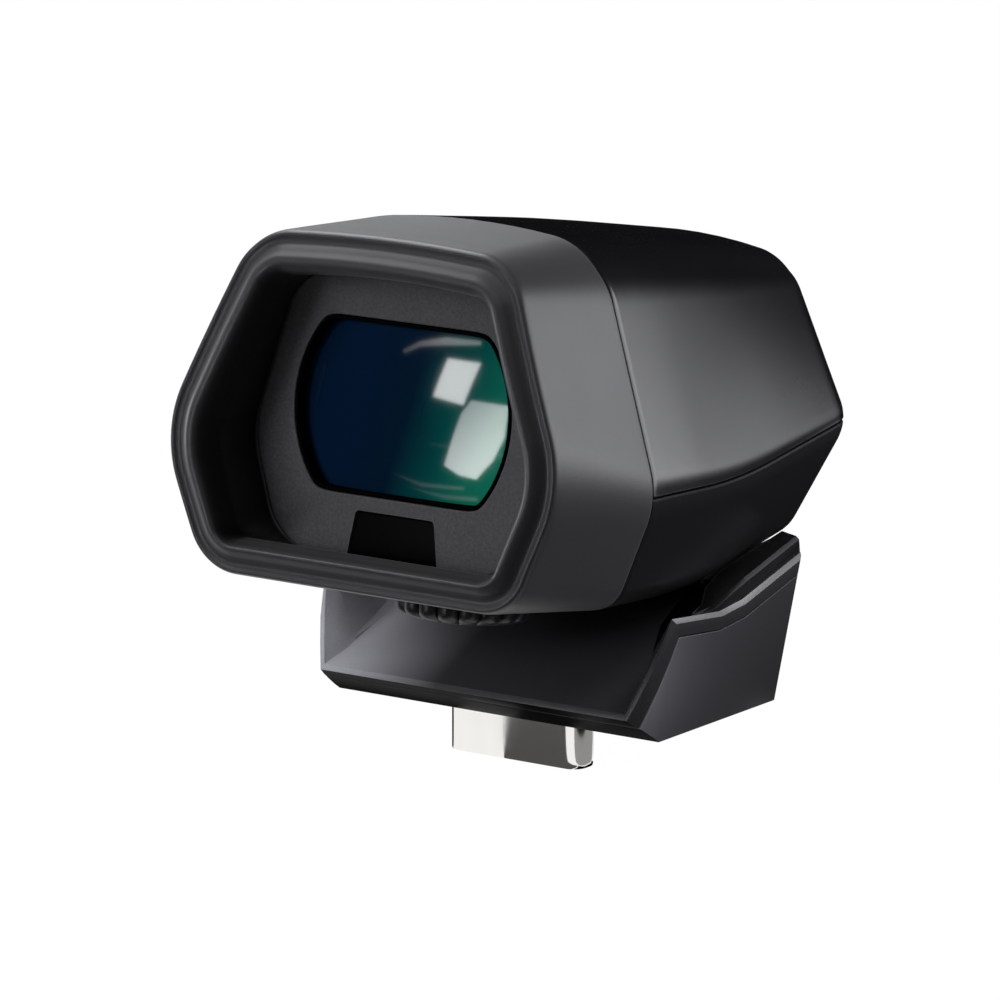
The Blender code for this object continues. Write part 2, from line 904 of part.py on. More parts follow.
def pivot_above():
    """Height of the tilt axis above the rim's bottom, square to the head."""
    return ((pivot_y + rim_back_from_origin) * math.sin(rest_pitch)
            + (pivot_z - rim_height) * math.cos(rest_pitch))


def housing_screw_places():
    return [(side * foot_x, y) for side in (-1.0, 1.0) for y in (foot_front_y, foot_rear_y)]


def arm_screw_places():
    return [(side * arm_screw_x, arm_screw_y) for side in (-1.0, 1.0)]


def optics_chassis(material):
    """Front plate with the barrel opening, two beams with feet, rear plate with the light window."""
    chassis = hex_slab("optics_chassis", skirt_thickness + frame_wall + fit_gap + fit_gap,
                       chassis_front_y, chassis_front_y + chassis_plate, material=material)
    cut(chassis, rod("bore", chassis_bore_radius, chassis_front_y - overrun,
                     chassis_front_y + chassis_plate + overrun, round_steps, along_y, (0.0, optical_z)))
    rear = box("rear", (-chassis_rear_half_width, chassis_rear_y, optical_z - chassis_rear_half_height),
               (chassis_rear_half_width, chassis_rear_y + chassis_plate,
                optical_z + chassis_rear_half_height))
    cut(rear, box("light", (-chassis_light_half_width, chassis_rear_y - overrun,
                            optical_z - chassis_light_half_height),
                  (chassis_light_half_width, chassis_rear_y + chassis_plate + overrun,
                   optical_z + chassis_light_half_height)))
    pieces = [rear]
    for side in (-1.0, 1.0):
        x = sorted((side * beam_inner_x, side * (beam_inner_x + beam_width)))
        pieces.append(box("beam", (x[0], chassis_front_y + chassis_plate * half, beam_floor_z),
                          (x[1], chassis_rear_y + chassis_plate * half, beam_floor_z + beam_height)))
        for y in (foot_front_y, foot_rear_y):
            pieces.append(box("foot", (x[0] + close_gap, y - foot_length * half, foot_floor_z),
                              (x[1] - close_gap, y + foot_length * half, beam_floor_z + beam_height * half)))
    join(chassis, *pieces)
    for x, y in housing_screw_places():
        top = floor_level(y) + screw_head_height + screw_bite
        cut(chassis, rod("hole", screw_shank_radius + fit_gap, foot_floor_z - overrun, top + fit_gap,
                         tiny_steps, along_z, (x, y)))
    return chassis


def guide_rod(name, side, material):
    return rod(name, rod_radius, chassis_front_y + chassis_plate + fit_gap, chassis_rear_y - fit_gap,
               tiny_steps, along_y, (side * rod_x, optical_z), material=material,
               smooth_degrees=40)


def rack_bar():
    """Rack whose teeth look towards the dial axis, with a web up to the barrel."""
    pitch = math.tau * pinion_pitch_radius / pinion_teeth
    root = pinion_pitch_radius + tooth_height * half + close_gap
    start = dial_y - pitch * rack_teeth * half
    outline = [(root + rack_back, start)]
    for k in range(rack_teeth):
        middle = start + pitch * (k + half)
        outline.append((root, middle - pitch * tooth_root_share * half))
        outline.append((root - tooth_height, middle - pitch * tooth_tip_share * half))
        outline.append((root - tooth_height, middle + pitch * tooth_tip_share * half))
        outline.append((root, middle + pitch * tooth_root_share * half))
    outline.append((root + rack_back, start + pitch * rack_teeth))
    bar = prism("rack", outline, rack_floor_z, rack_floor_z + rack_height, along_z)
    web = box("web", (root + close_gap, barrel_front_y + close_gap, rack_floor_z + rack_height * half),
              (root + rack_back - close_gap, barrel_front_y + barrel_length * half, rack_web_roof_z))
    return join(bar, web)


def lens_barrel(material):
    near = barrel_front_y
    far = near + barrel_length
    inner = barrel_radius - barrel_wall
    profile = [(inner - barrel_lip, near), (barrel_radius, near), (barrel_radius, far), (inner, far),
               (inner, near + barrel_lip_depth), (inner - barrel_lip, near + barrel_lip_depth)]
    barrel = turned("lens_barrel", profile, round_steps, along_y, (0.0, optical_z),
                    material=material)
    middle = near + lug_front_gap
    for side in (-1.0, 1.0):
        x = sorted((side * lug_root_x, side * lug_tip_x))
        lug = box("lug", (x[0], middle, optical_z - lug_height * half),
                  (x[1], middle + lug_length, optical_z + lug_height * half))
        cut(lug, rod("lug_hole", rod_radius + fit_gap, middle - overrun, middle + lug_length + overrun,
                     tiny_steps, along_y, (side * rod_x, optical_z)))
        join(barrel, lug)
    join(barrel, rack_bar())
    soften(barrel, 30)
    return barrel


def inner_lens(name, near, front_sag, rear_sag, material):
    """Round lens of the moving group, domed by its two sags."""
    radius = barrel_radius - barrel_wall - fit_gap
    profile = []
    for k in range(lens_rows + 1):
        r = radius * k / (lens_rows)
        profile.append((r, near + front_sag * (r / radius) ** 2))
    for k in range(lens_rows, -1, -1):
        r = radius * k / (lens_rows)
        profile.append((r, near + inner_lens_thickness - rear_sag * (r / radius) ** 2))
    return turned(name, profile, round_steps, along_y, (0.0, optical_z), material=material,
                  smooth_degrees=30)


def barrel_contents(glass, metal):
    """Lenses, spacers and retaining ring, one behind the other."""
    pieces = []
    radius = barrel_radius - barrel_wall - fit_gap
    y = barrel_front_y + barrel_lip_depth + fit_gap
    for number in (2, 3, 4):
        front, rear = {2: (inner_lens_sag, inner_lens_sag), 3: (0.0, inner_lens_sag),
                       4: (inner_lens_sag, 0.0)}[number]
        pieces.append(inner_lens("lens_%d" % number, y, front, rear, glass))
        y += inner_lens_thickness + fit_gap
        if number < 4:
            pieces.append(ring("lens_spacer_%d" % (number - 1), radius - spacer_wall, radius, y,
                               y + spacer_length, round_steps, along_y, (0.0, optical_z), material=metal,
                               smooth_degrees=40))
            y += spacer_length + fit_gap
    pieces.append(ring("retaining_ring", radius - spacer_wall, radius, y, y + retainer_length, round_steps,
                       along_y, (0.0, optical_z), material=metal, smooth_degrees=40))
    return pieces


def dial_ring(radius, depth, z):
    """Lobed outline about the dial axis: rounded ribs with narrow valleys."""
    count = dial_lobes * dial_points_per_lobe
    points = []
    for k in range(count):
        angle = math.tau * k / count
        wave = abs(math.sin(angle * dial_lobes * half))
        r = radius - depth * (1.0 - math.sqrt(wave))
        points.append((r * math.cos(angle), r * math.sin(angle), z))
    return points


def dioptre_dial(material):
    low = dial_radius * dial_floor_share
    shoulder_z = mix(dial_side_z, dial_floor_z, dial_shoulder_share)
    rings = [dial_ring(dial_radius, dial_lobe_depth, dial_roof_z),
             dial_ring(dial_radius, dial_lobe_depth, dial_side_z),
             dial_ring(mix(dial_radius, low, half), dial_lobe_depth, shoulder_z),
             dial_ring(low, 0.0, dial_floor_z)]
    dial = loft("dioptre_dial", rings, material=material)
    cut(dial,
        rod("bore", dial_bore_radius, dial_floor_z - overrun, dial_roof_z + overrun,
            small_steps, along_z),
        rod("well", dial_well_radius, dial_floor_z - overrun, dial_floor_z + dial_well_depth,
            round_steps, along_z))
    soften(dial, 35)
    return dial


def dial_pinion(material):
    """Shaft through the housing floor with the pinion on top and a spigot in the dial."""
    root = pinion_pitch_radius - tooth_height * half
    outline = []
    for k in range(pinion_teeth):
        for share, radius in ((-tooth_root_share, root), (-tooth_tip_share, root + tooth_height),
                              (tooth_tip_share, root + tooth_height), (tooth_root_share, root)):
            angle = math.tau * (k + half + share * half) / pinion_teeth
            outline.append((radius * math.cos(angle), radius * math.sin(angle)))
    pinion = prism("dial_pinion", outline, pinion_floor_z, pinion_floor_z + pinion_height, along_z,
                   material=material)
    spigot_floor = dial_floor_z + dial_well_depth + spigot_floor_gap
    shaft = turned("shaft", [(0.0, pinion_floor_z + pinion_height * half),
                             (shaft_radius, pinion_floor_z + pinion_height * half),
                             (shaft_radius, dial_roof_z + fit_gap),
                             (pinion_spigot_radius, dial_roof_z + fit_gap),
                             (pinion_spigot_radius, spigot_floor), (0.0, spigot_floor)],
                   small_steps, along_z)
    join(pinion, shaft)
    cut(pinion, rod("screw_bore", spigot_bore_radius, spigot_floor - overrun,
                    dial_floor_z + dial_well_depth + dial_screw_length + fit_gap, tiny_steps, along_z))
    soften(pinion, 30)
    return pinion


def dial_screw(material):
    top = dial_floor_z + dial_well_depth
    low = top - dial_screw_head_height - fit_gap
    profile = [(0.0, low + screw_socket_depth), (screw_socket_radius, low + screw_socket_depth),
               (screw_socket_radius, low), (dial_screw_head_radius, low),
               (dial_screw_head_radius, top - fit_gap), (dial_screw_shank_radius, top - fit_gap),
               (dial_screw_shank_radius, top + dial_screw_length), (0.0, top + dial_screw_length)]
    return turned("dial_screw", profile, tiny_steps, along_z, material=material,
                  smooth_degrees=40)


def display_holder(material):
    """Box behind the chassis that seats the panel, with two arms out to the driver board."""
    near = chassis_rear_y + chassis_plate + fit_gap
    far = near + display_seat_depth + display_thickness
    holder = box("display_holder", (-holder_box_half_width, near, optical_z - holder_box_half_height),
                 (holder_box_half_width, far, optical_z + holder_box_half_height),
                 material=material)
    cut(holder,
        box("light", (-chassis_light_half_width + holder_ledge, near - overrun,
                      optical_z - chassis_light_half_height + holder_ledge),
            (chassis_light_half_width - holder_ledge, far + overrun,
             optical_z + chassis_light_half_height - holder_ledge)),
        box("seat", (-display_half_width - fit_gap, near + display_seat_depth,
                     optical_z - display_half_height - fit_gap),
            (display_half_width + fit_gap, far + overrun, optical_z + display_half_height + fit_gap)))
    for side in (-1.0, 1.0):
        x = sorted((side * (holder_box_half_width - close_gap),
                    side * (holder_box_half_width - holder_arm_width)))
        join(holder, box("arm", (x[0], near + display_seat_depth * half,
                                 optical_z - holder_arm_width),
                         (x[1], board_y - fit_gap, optical_z + holder_arm_width)))
    return holder


def display_panel(material):
    near = chassis_rear_y + chassis_plate + fit_gap + display_seat_depth + fit_gap
    return box("display_panel", (-display_half_width, near, optical_z - display_half_height),
               (display_half_width, near + display_thickness, optical_z + display_half_height),
               material=material)


def driver_board(material):
    board = box("driver_board", (-board_half_width, board_y, optical_z - board_half_height),
                (board_half_width, board_y + board_thickness, optical_z + board_half_height),
                material=material)
    chip = box("chip", (-chip_half, board_y + board_thickness * half, optical_z - chip_half),
               (chip_half, board_y + board_thickness + chip_height, optical_z + chip_half))
    return join(board, chip)


def display_flex(material):
    """Thin ribbon from the back of the panel up and over to the driver board."""
    near = (chassis_rear_y + chassis_plate + fit_gap + display_seat_depth + fit_gap
            + display_thickness + close_gap)
    far = board_y - close_gap
    thick = flex_thickness
    low = optical_z
    top = optical_z + flex_rise
    outline = [(near, low), (near, top), (far, top), (far, low), (far - thick, low),
               (far - thick, top - thick), (near + thick, top - thick), (near + thick, low)]
    rings = [[(x, y, z) for y, z in outline] for x in (-flex_half_width, flex_half_width)]
    return loft("display_flex", rings, material=material)


def hinge_arm(material):
    """Knuckle round the tilt shaft, leaf through the housing floor, block screwed inside."""
    y = pivot_along()
    z = pivot_above()
    arm = rod("hinge_arm", knuckle_radius, -knuckle_half, knuckle_half, small_steps,
              across(y, z), material=material)
    leaf = box("leaf", (-leaf_half_width, y - leaf_half_thickness, z),
               (leaf_half_width, y + leaf_half_thickness, arm_block_floor_z + arm_block_height * half))
    block = box("block", (-leaf_half_width, arm_block_front_y, arm_block_floor_z),
                (leaf_half_width, arm_block_rear_y, arm_block_floor_z + arm_block_height))
    join(arm, leaf, block)
    cut(arm, rod("bore", shaft_pin_radius + fit_gap, -knuckle_half - overrun, knuckle_half + overrun,
                 tiny_steps, across(y, z)))
    for x, along in arm_screw_places():
        cut(arm, rod("hole", screw_shank_radius + fit_gap, arm_block_floor_z - overrun,
                     arm_block_floor_z + arm_block_height + overrun, tiny_steps, along_z, (x, along)))
    soften(arm, 30)
    return arm


def across(y, z):
    """Place function for pieces turned about an axis along x through (y, z)."""
    def place(u, v, depth):
        return (depth, y + u, z + v)
    return place


def base_half(z):
    return base_foot_half + base_flare * z


def base_outline():
    """Side view of the whole cradle, nose first, over the wall top to the rear foot."""
    return [(base_nose_y, base_nose_z), (wall_front_y, wall_front_z), (wall_low_y, wall_low_z),
            (wall_bend_y, wall_bend_z), (wall_rear_y, wall_rear_z)]


def offset_line(points, distance):
    """Open outline moved to its right-hand side by the distance, mitred at the bends."""
    sides = []
    for a, b in zip(points, points[1:]):
        direction = (Vector(b) - Vector(a)).normalized()
        sides.append((Vector(a), direction, Vector((direction.y, -direction.x)) * distance))
    moved = [sides[0][0] + sides[0][2]]
    for one, two in zip(sides, sides[1:]):
        bisector = (one[2] + two[2]).normalized()
        reach = distance / bisector.dot(one[2].normalized())
        moved.append(two[0] + bisector * reach)
    moved.append(Vector(points[-1]) + sides[-1][2])
    return [(point.x, point.y) for point in moved]


def flank_prism(name, outline, narrower=0.0, **look):
    """Side-view outline carried out to the flared flanks of the cradle, or that much short."""
    rings = [[(side * (base_half(z) - narrower), y, z) for y, z in outline] for side in (-1.0, 1.0)]
    return loft(name, rings, **look)


def nose_narrowing(y):
    """How far the rounded front corners draw the flanks in at y."""
    share = min(1.0, max(0.0, 1.0 - (y - base_nose_y) / nose_round_length))
    return nose_round_width * share ** nose_round_power


def corner_cutter(side, front):
    """Space outside a rounded upright corner of the cradle, leaning with the flared flank."""
    lean = (wall_rear_y - base_rear_foot_y) / wall_rear_z
    rings = []
    for z in (-overrun, wall_rear_z + shoulder_rise + overrun):
        edge = base_nose_y if front else base_rear_foot_y + lean * z
        outside = edge - overrun if front else edge + overrun
        corner_ring = []
        for k in range(corner_round_steps + 1):
            share = k / corner_round_steps
            angle = math.pi * half * share
            if front:
                y = edge + nose_round_length * share
                x = base_half(z) - nose_narrowing(y)
            else:
                y = edge - rear_round * (1.0 - math.cos(angle))
                x = base_half(z) - rear_round * (1.0 - math.sin(angle))
            corner_ring.append((side * x, y, z))
        corner_ring.append((side * (base_half(z) + overrun), corner_ring[-1][1], z))
        corner_ring.append((side * (base_half(z) + overrun), outside, z))
        corner_ring.append((corner_ring[0][0], outside, z))
        rings.append(corner_ring)
    return loft("corner", rings)


def round_corners(body):
    return cut(body, *[corner_cutter(side, front) for side in (-1.0, 1.0) for front in (True, False)])


def meet(a, b, c, d):
    """Point where the line through a and b crosses the line through c and d."""
    a, b, c, d = (Vector(point) for point in (a, b, c, d))
    one = b - a
    two = d - c
    share = (c - a).cross(two) / one.cross(two)
    point = a + one * share
    return (point.x, point.y)


front_foot = (base_front_foot_y, 0.0)
rear_foot = (base_rear_foot_y, 0.0)


def seam_line(distance):
    """Line that far inside the nose, wall and rear edges, ended on the outline itself."""
    line = offset_line(base_outline(), distance)
    start = meet(line[0], line[1], front_foot, base_outline()[0])
    end = meet(line[-2], line[-1], rear_foot, base_outline()[-1])
    return [start] + line[1:-1] + [end]


def trough_floor(y):
    """Height of the cradle's inner floor: rises from the nose, then runs level."""
    share = (y - base_nose_y) / (trough_level_y - base_nose_y)
    return mix(trough_nose_z, trough_level_z, min(max(share, 0.0), 1.0))


def wall_level(y):
    """Height of the cradle's outline above y: front edge, low run, then the rise to the rear."""
    line = base_outline()
    for (y0, z0), (y1, z1) in zip(line, line[1:]):
        if y <= y1:
            return mix(z0, z1, max(0.0, y - y0) / (y1 - y0))
    return line[-1][1]


def shoulder_level(y):
    """Height of the raised shoulder that follows the head's underside towards the rear."""
    return wall_level(y) + shoulder_rise * ease((y - shoulder_start_y) / (shoulder_full_y - shoulder_start_y))


def shoulder_inner(z):
    """Half width of the shoulder's inner face, which follows the head's flank at a gap."""
    return (hinge_bay_half + shoulder_hug_gap
            + shoulder_hug_run_share * max(0.0, z - shoulder_hug_z))


def shoulder(side):
    """Ridge just inside the flank's edge: sloping outer face, narrow top, inner face along the head."""
    rings = []
    lean = (wall_rear_y - base_rear_foot_y) / wall_rear_z
    for k in range(shoulder_stations + 1):
        y = mix(shoulder_start_y, wall_rear_y, k / shoulder_stations)
        edge = wall_level(y)
        top = shoulder_level(y)
        outer = base_half(edge) - edge_bevel
        grown = ease((y - shoulder_start_y) / (shoulder_full_y - shoulder_start_y))
        lip = outer - shoulder_slope - shoulder_lip
        crest_z = top + shoulder_crest_rise * grown
        waist = min(shoulder_hug_z, top - shoulder_round)
        crest = min(shoulder_inner(crest_z), lip - fit_gap)
        inner = mix(lip - fit_gap, shoulder_inner(waist), grown)
        profile = [(outer, edge - shoulder_root), (outer, edge - shoulder_round),
                   (outer - shoulder_slope * grown, top), (lip, top + shoulder_lip_rise * grown),
                   (mix(lip - fit_gap, crest, grown), crest_z), (inner, waist),
                   (inner, edge - shoulder_root)]
        last = k == shoulder_stations
        rings.append([(side * x, y + (lean * (z - edge) if last else 0.0), z) for x, z in profile])
    return loft("shoulder", rings)


def trough_half(y, z):
    """Half width of the trough: thin wall edge, bevel below it, bowl towards the floor."""
    nose_run = (wall_front_y - base_nose_y) / (wall_front_z - base_nose_z)
    depth = min(wall_level(y) - z, y - base_nose_y - (z - base_nose_z) * nose_run)
    inset = wall_edge + wall_bevel * min(1.0, max(0.0, depth / wall_bevel_depth))
    inset += shoulder_width * ease((y - shoulder_start_y) / (wall_rear_y - shoulder_start_y))
    inward = ease((y - base_nose_y) / (trough_level_y - base_nose_y))
    fall = 1.0 - min(1.0, max(0.0, (z - trough_floor(y)) / (wall_level(y) - trough_floor(y) + fit_gap)))
    inset += nose_narrowing(y)
    return base_half(z) - inset - trough_bowl * inward * (1.0 - math.sqrt(max(0.0, 1.0 - fall * fall)))


def trough_cutter():
    """Space over the inner floor, from before the nose to behind the rear edge."""
    rings = []
    low_run = (wall_low_y + wall_front_y) * half
    nose_run = wall_front_y - base_nose_y
    stations = [base_nose_y - overrun]
    stations += [base_nose_y + nose_run * (1.0 - math.cos(math.pi * half * k / corner_round_steps))
                 for k in range(corner_round_steps + 1)]
    stations += [low_run, wall_low_y, trough_level_y, (trough_level_y + wall_rear_y) * half,
                 wall_rear_y + overrun]
    for y in stations:
        low = trough_floor(y)
        high = max(wall_level(y), low)
        side = []
        for k in range(trough_rows + 1):
            z = mix(low, high, 1.0 - math.cos(math.pi * half * k / trough_rows))
            side.append((trough_half(y, z), y, z))
        side.append((side[-1][0], y, wall_rear_z + overrun))
        rings.append([(-x, y, z) for x, y, z in side[::-1]] + side)
    return loft("trough", rings)


def under_line():
    """Underside of the cradle's floor, from the nose to the wall behind the hinge bay."""
    front = base_nose_y + tub_front_depth
    step = hinge_bay_y - trough_floor_thickness
    rear = base_rear_foot_y - tray_wall - fit_gap
    return [(front, trough_floor(front) - trough_floor_thickness),
            (trough_level_y, trough_level_z - trough_floor_thickness),
            (step, trough_level_z - trough_floor_thickness),
            (step, hinge_bay_z - trough_floor_thickness),
            (rear, hinge_bay_z - trough_floor_thickness)]


def tub_outline():
    under = under_line()
    middle = offset_line(base_outline(), strip_width * half)
    rear_y = under[-1][0]
    top = meet(middle[-2], middle[-1], (rear_y, 0.0), (rear_y, wall_rear_z))
    return under + [top] + middle[-2:0:-1] + [middle[0]]


def hinge_bay():
    return box("bay", (-hinge_bay_half, hinge_bay_y, hinge_bay_z),
               (hinge_bay_half, wall_rear_y + overrun, wall_rear_z + overrun))


def boss_places():
    return [(side * boss_x, y) for side in (-1.0, 1.0) for y in (boss_front_y, boss_rear_y)]


def ear_outline():
    """Ear of the tilt shaft in side view: foot on the bay floor, round head."""
    rear = base_rear_foot_y - tray_wall - fit_gap
    step = hinge_bay_z + fit_gap
    foot = hinge_bay_z - ear_foot_drop
    outline = [(pivot_y - knuckle_radius, foot), (rear, foot), (rear, step),
               (pivot_y + knuckle_radius, step)]
    for k in range(arc_steps + 1):
        angle = math.pi * k / arc_steps
        outline.append((pivot_y + knuckle_radius * math.cos(angle),
                        pivot_z + knuckle_radius * math.sin(angle)))
    return outline


def ear_inner_x():
    return knuckle_half + washer_thickness + fit_gap + fit_gap


def bevelled_strip(material):
    """Strip along the nose, wall and rear edges of both flanks, its outer edges bevelled."""
    inside = seam_line(strip_width)[::-1]
    drawn_in = seam_line(edge_bevel)
    rings = []
    for side, outline, narrower in ((-1.0, drawn_in, 0.0), (-1.0, base_outline(), edge_bevel),
                                    (1.0, base_outline(), edge_bevel), (1.0, drawn_in, 0.0)):
        rings.append([(side * (base_half(z) - narrower), y, z) for y, z in outline + inside])
    return loft("cradle", rings, material=material)


def cradle(material):
    """Strip along the flank edges, sloping inner floor, screw well, bosses and hinge ears."""
    body = bevelled_strip(material)
    join(body, flank_prism("tub", tub_outline(), tray_wall + fit_gap),
         rod("well", mount_well_radius + mount_well_wall, mount_well_floor_z - mount_well_floor,
             trough_level_z - trough_floor_thickness * half, round_steps, along_z, (0.0, mount_screw_y)))
    for x, y in boss_places():
        top = min(trough_floor(y), hinge_bay_z) - trough_floor_thickness * half
        join(body, rod("boss", boss_radius, tray_floor + fit_gap, top, tiny_steps, along_z, (x, y)))
    cut(body, trough_cutter(), hinge_bay(),
        rod("well", mount_well_radius, mount_well_floor_z, wall_rear_z, round_steps, along_z,
            (0.0, mount_screw_y)),
        rod("well_hole", mount_hole_radius, 0.0, wall_rear_z, small_steps, along_z, (0.0, mount_screw_y)))
    for side in (-1.0, 1.0):
        rings = [[(side * x, y, z) for y, z in ear_outline()]
                 for x in (ear_inner_x(), ear_inner_x() + ear_thickness)]
        join(body, loft("ear", rings), shoulder(side))
    round_corners(body)
    cut(body, rod("bore", shaft_pin_radius + fit_gap, -base_foot_half, base_foot_half, small_steps,
                  across(pivot_y, pivot_z)))
    for x, y in boss_places():
        cut(body, rod("hole", screw_shank_radius + fit_gap, 0.0,
                      screw_sink + screw_head_height + screw_bite + fit_gap, tiny_steps, along_z, (x, y)))
    soften(body, 30)
    return body


def plug_outline(inset):
    """Rounded oblong of the plug, drawn in by the inset, as (x, y)."""
    width = plug_half_width - inset
    depth = plug_half_depth - inset
    radius = max(plug_corner_radius - inset, fit_gap)
    points = []
    for k, (sx, sy) in enumerate(((1.0, 1.0), (-1.0, 1.0), (-1.0, -1.0), (1.0, -1.0))):
        for i in range(plug_corner_steps + 1):
            angle = math.pi * half * (k + i / plug_corner_steps)
            points.append((sx * (width - radius) + radius * math.cos(angle),
                           plug_y + sy * (depth - radius) + radius * math.sin(angle)))
    return points


def tray(material):
    """Bottom with its flanks, closed at the rear; open above for the cradle."""
    outline = [front_foot] + seam_line(strip_width + strip_gap) + [rear_foot]
    body = flank_prism("tray", outline, material=material)
    rear = base_rear_foot_y - tray_wall
    high = wall_rear_z + overrun
    front = base_front_foot_y + tray_floor
    hollow = [(front, tray_floor), (rear, tray_floor), (rear, high), (front, high)]
    under = [(y, z - fit_gap) for y, z in under_line()]
    under[-1] = (rear, under[-1][1])
    nose_under = trough_nose_z - trough_floor_thickness - fit_gap
    space = [(base_nose_y - overrun, nose_under), (base_nose_y, nose_under)] + under[1:]
    space += [(rear, high), (base_nose_y - overrun, high)]
    cut(body, flank_prism("hollow", hollow, tray_wall), flank_prism("space", space, tray_wall),
        hinge_bay(),
        prism("plug_slot", plug_outline(-fit_gap), -overrun, tray_floor + overrun, along_z),
        rod("screw_hole", mount_hole_radius, -overrun, tray_floor + overrun, small_steps, along_z,
            (0.0, mount_screw_y)))
    for x, y in boss_places():
        cut(body, screw_pocket(x, y, screw_sink))
    round_corners(body)
    soften(body, 30)
    return body


def plug_shell(material):
    outer = prism("plug_shell", plug_outline(0.0), -plug_drop, plug_root_z, along_z, material=material)
    cut(outer, prism("bore", plug_outline(plug_wall), -plug_drop - overrun, plug_root_z + overrun, along_z))
    soften(outer, 40)
    return outer


def plug_insulator(material):
    near = plug_wall + close_gap
    core = prism("plug_insulator", plug_outline(near), -plug_drop + fit_gap, plug_root_z, along_z,
                 material=material)
    cut(core, prism("cavity", plug_outline(near + plug_tongue_wall), -plug_drop - overrun,
                    plug_cavity_roof_z, along_z))
    soften(core, 40)
    return core


def plug_contacts(material):
    """Two rows of blades on one carrier bar, inside the plug's cavity."""
    depth = plug_half_depth - plug_wall - close_gap - plug_tongue_wall - close_gap
    top = plug_cavity_roof_z - close_gap
    reach = contact_pitch * (contact_count - 1) * half + contact_width * half
    comb = box("plug_contacts", (-reach, plug_y - depth, top - contact_bar_height),
               (reach, plug_y + depth, top), material=material)
    for row in (-1.0, 1.0):
        y = sorted((plug_y + row * depth, plug_y + row * (depth - contact_thickness)))
        for k in range(contact_count):
            x = (k - (contact_count - 1) * half) * contact_pitch
            join(comb, box("blade", (x - contact_width * half, y[0], contact_tip_z),
                           (x + contact_width * half, y[1], top - contact_bar_height * half)))
    return comb


def plug_board(material):
    near = plug_root_z + fit_gap
    return box("plug_board", (-plug_board_half_width, plug_y - plug_board_half_depth, near),
               (plug_board_half_width, plug_y + plug_board_half_depth, near + plug_board_thickness),
               material=material)


def tilt_shaft(material):
    reach = ear_inner_x() + ear_thickness - fit_gap
    return rod("tilt_shaft", shaft_pin_radius, -reach, reach, small_steps, across(pivot_y, pivot_z),
               material=material, smooth_degrees=40)


def friction_washer(name, side, material):
    near = side * (knuckle_half + fit_gap)
    return ring(name, shaft_pin_radius + fit_gap, washer_radius, near, near + side * washer_thickness,
                small_steps, across(pivot_y, pivot_z), material=material, smooth_degrees=40)


def mounting_screw(material):
    """Captive screw: gripped head with a hexagon socket, neck, then the threaded end."""
    low = mount_well_floor_z + fit_gap
    high = low + mount_head_height
    count = mount_grips * 4
    rings = []
    for z in (low, high):
        outline = []
        for k in range(count):
            angle = math.tau * k / count
            radius = mount_head_radius - (mount_head_groove if k % 4 == 0 else 0.0)
            outline.append((radius * math.cos(angle), radius * math.sin(angle), z))
        rings.append(outline)
    head = loft("mounting_screw", rings, material=material)
    bevel = mount_thread_radius - mount_tip_bevel
    stem = turned("stem", [(0.0, low + mount_neck_radius), (mount_neck_radius, low + mount_neck_radius),
                           (mount_neck_radius, mount_thread_roof_z),
                           (mount_thread_radius, mount_thread_roof_z),
                           (mount_thread_radius, mount_tip_z + mount_tip_bevel), (bevel, mount_tip_z),
                           (0.0, mount_tip_z)], small_steps, along_z)
    join(head, stem)
    cut(head, rod("socket", mount_socket_radius, high - mount_socket_depth, high + overrun, 6, along_z))
    soften(head, 30)
    return head


def screw_clip(material):
    return ring("screw_clip", clip_bore_radius, clip_radius, clip_floor_z, clip_floor_z + clip_thickness,
                small_steps, along_z, material=material, smooth_degrees=40)


def make_materials():
    return {
        "rubber": make_material("matte_rubber", (0.028, 0.028, 0.030), 0.72),
        "satin": make_material("satin_housing", (0.024, 0.024, 0.027), 0.42),
        "gloss": make_material("dark_housing", (0.010, 0.010, 0.011), 0.30),
        "plate": make_material("eyepiece_plate", (0.040, 0.040, 0.043), 0.62),
        "black": make_material("black_plastic", (0.008, 0.008, 0.009), 0.40),
        "smoked": make_material("smoked_window", (0.003, 0.003, 0.004), 0.12),
        "glass": make_glass("coated_glass", (0.35, 0.62, 0.66), 0.02),
        "inner_glass": make_glass("inner_glass", (0.70, 0.82, 0.86), 0.03),
        "alloy": make_material("black_alloy", (0.030, 0.030, 0.033), 0.38, 0.7),
        "steel": make_material("bright_steel", (0.55, 0.55, 0.56), 0.25, 1.0),
        "nickel": make_material("plug_nickel", (0.72, 0.71, 0.69), 0.20, 1.0),
        "gold": make_material("gilt_contacts", (0.80, 0.58, 0.24), 0.25, 1.0),
        "brass": make_material("brass", (0.62, 0.46, 0.20), 0.30, 1.0),
        "board": make_material("circuit_board", (0.010, 0.060, 0.030), 0.45),
        "screen": make_material("display_glass", (0.010, 0.012, 0.016), 0.08),
        "flex": make_material("amber_flex", (0.36, 0.16, 0.03), 0.40),
        "nylon": make_material("grey_nylon", (0.20, 0.20, 0.20), 0.55),
    }


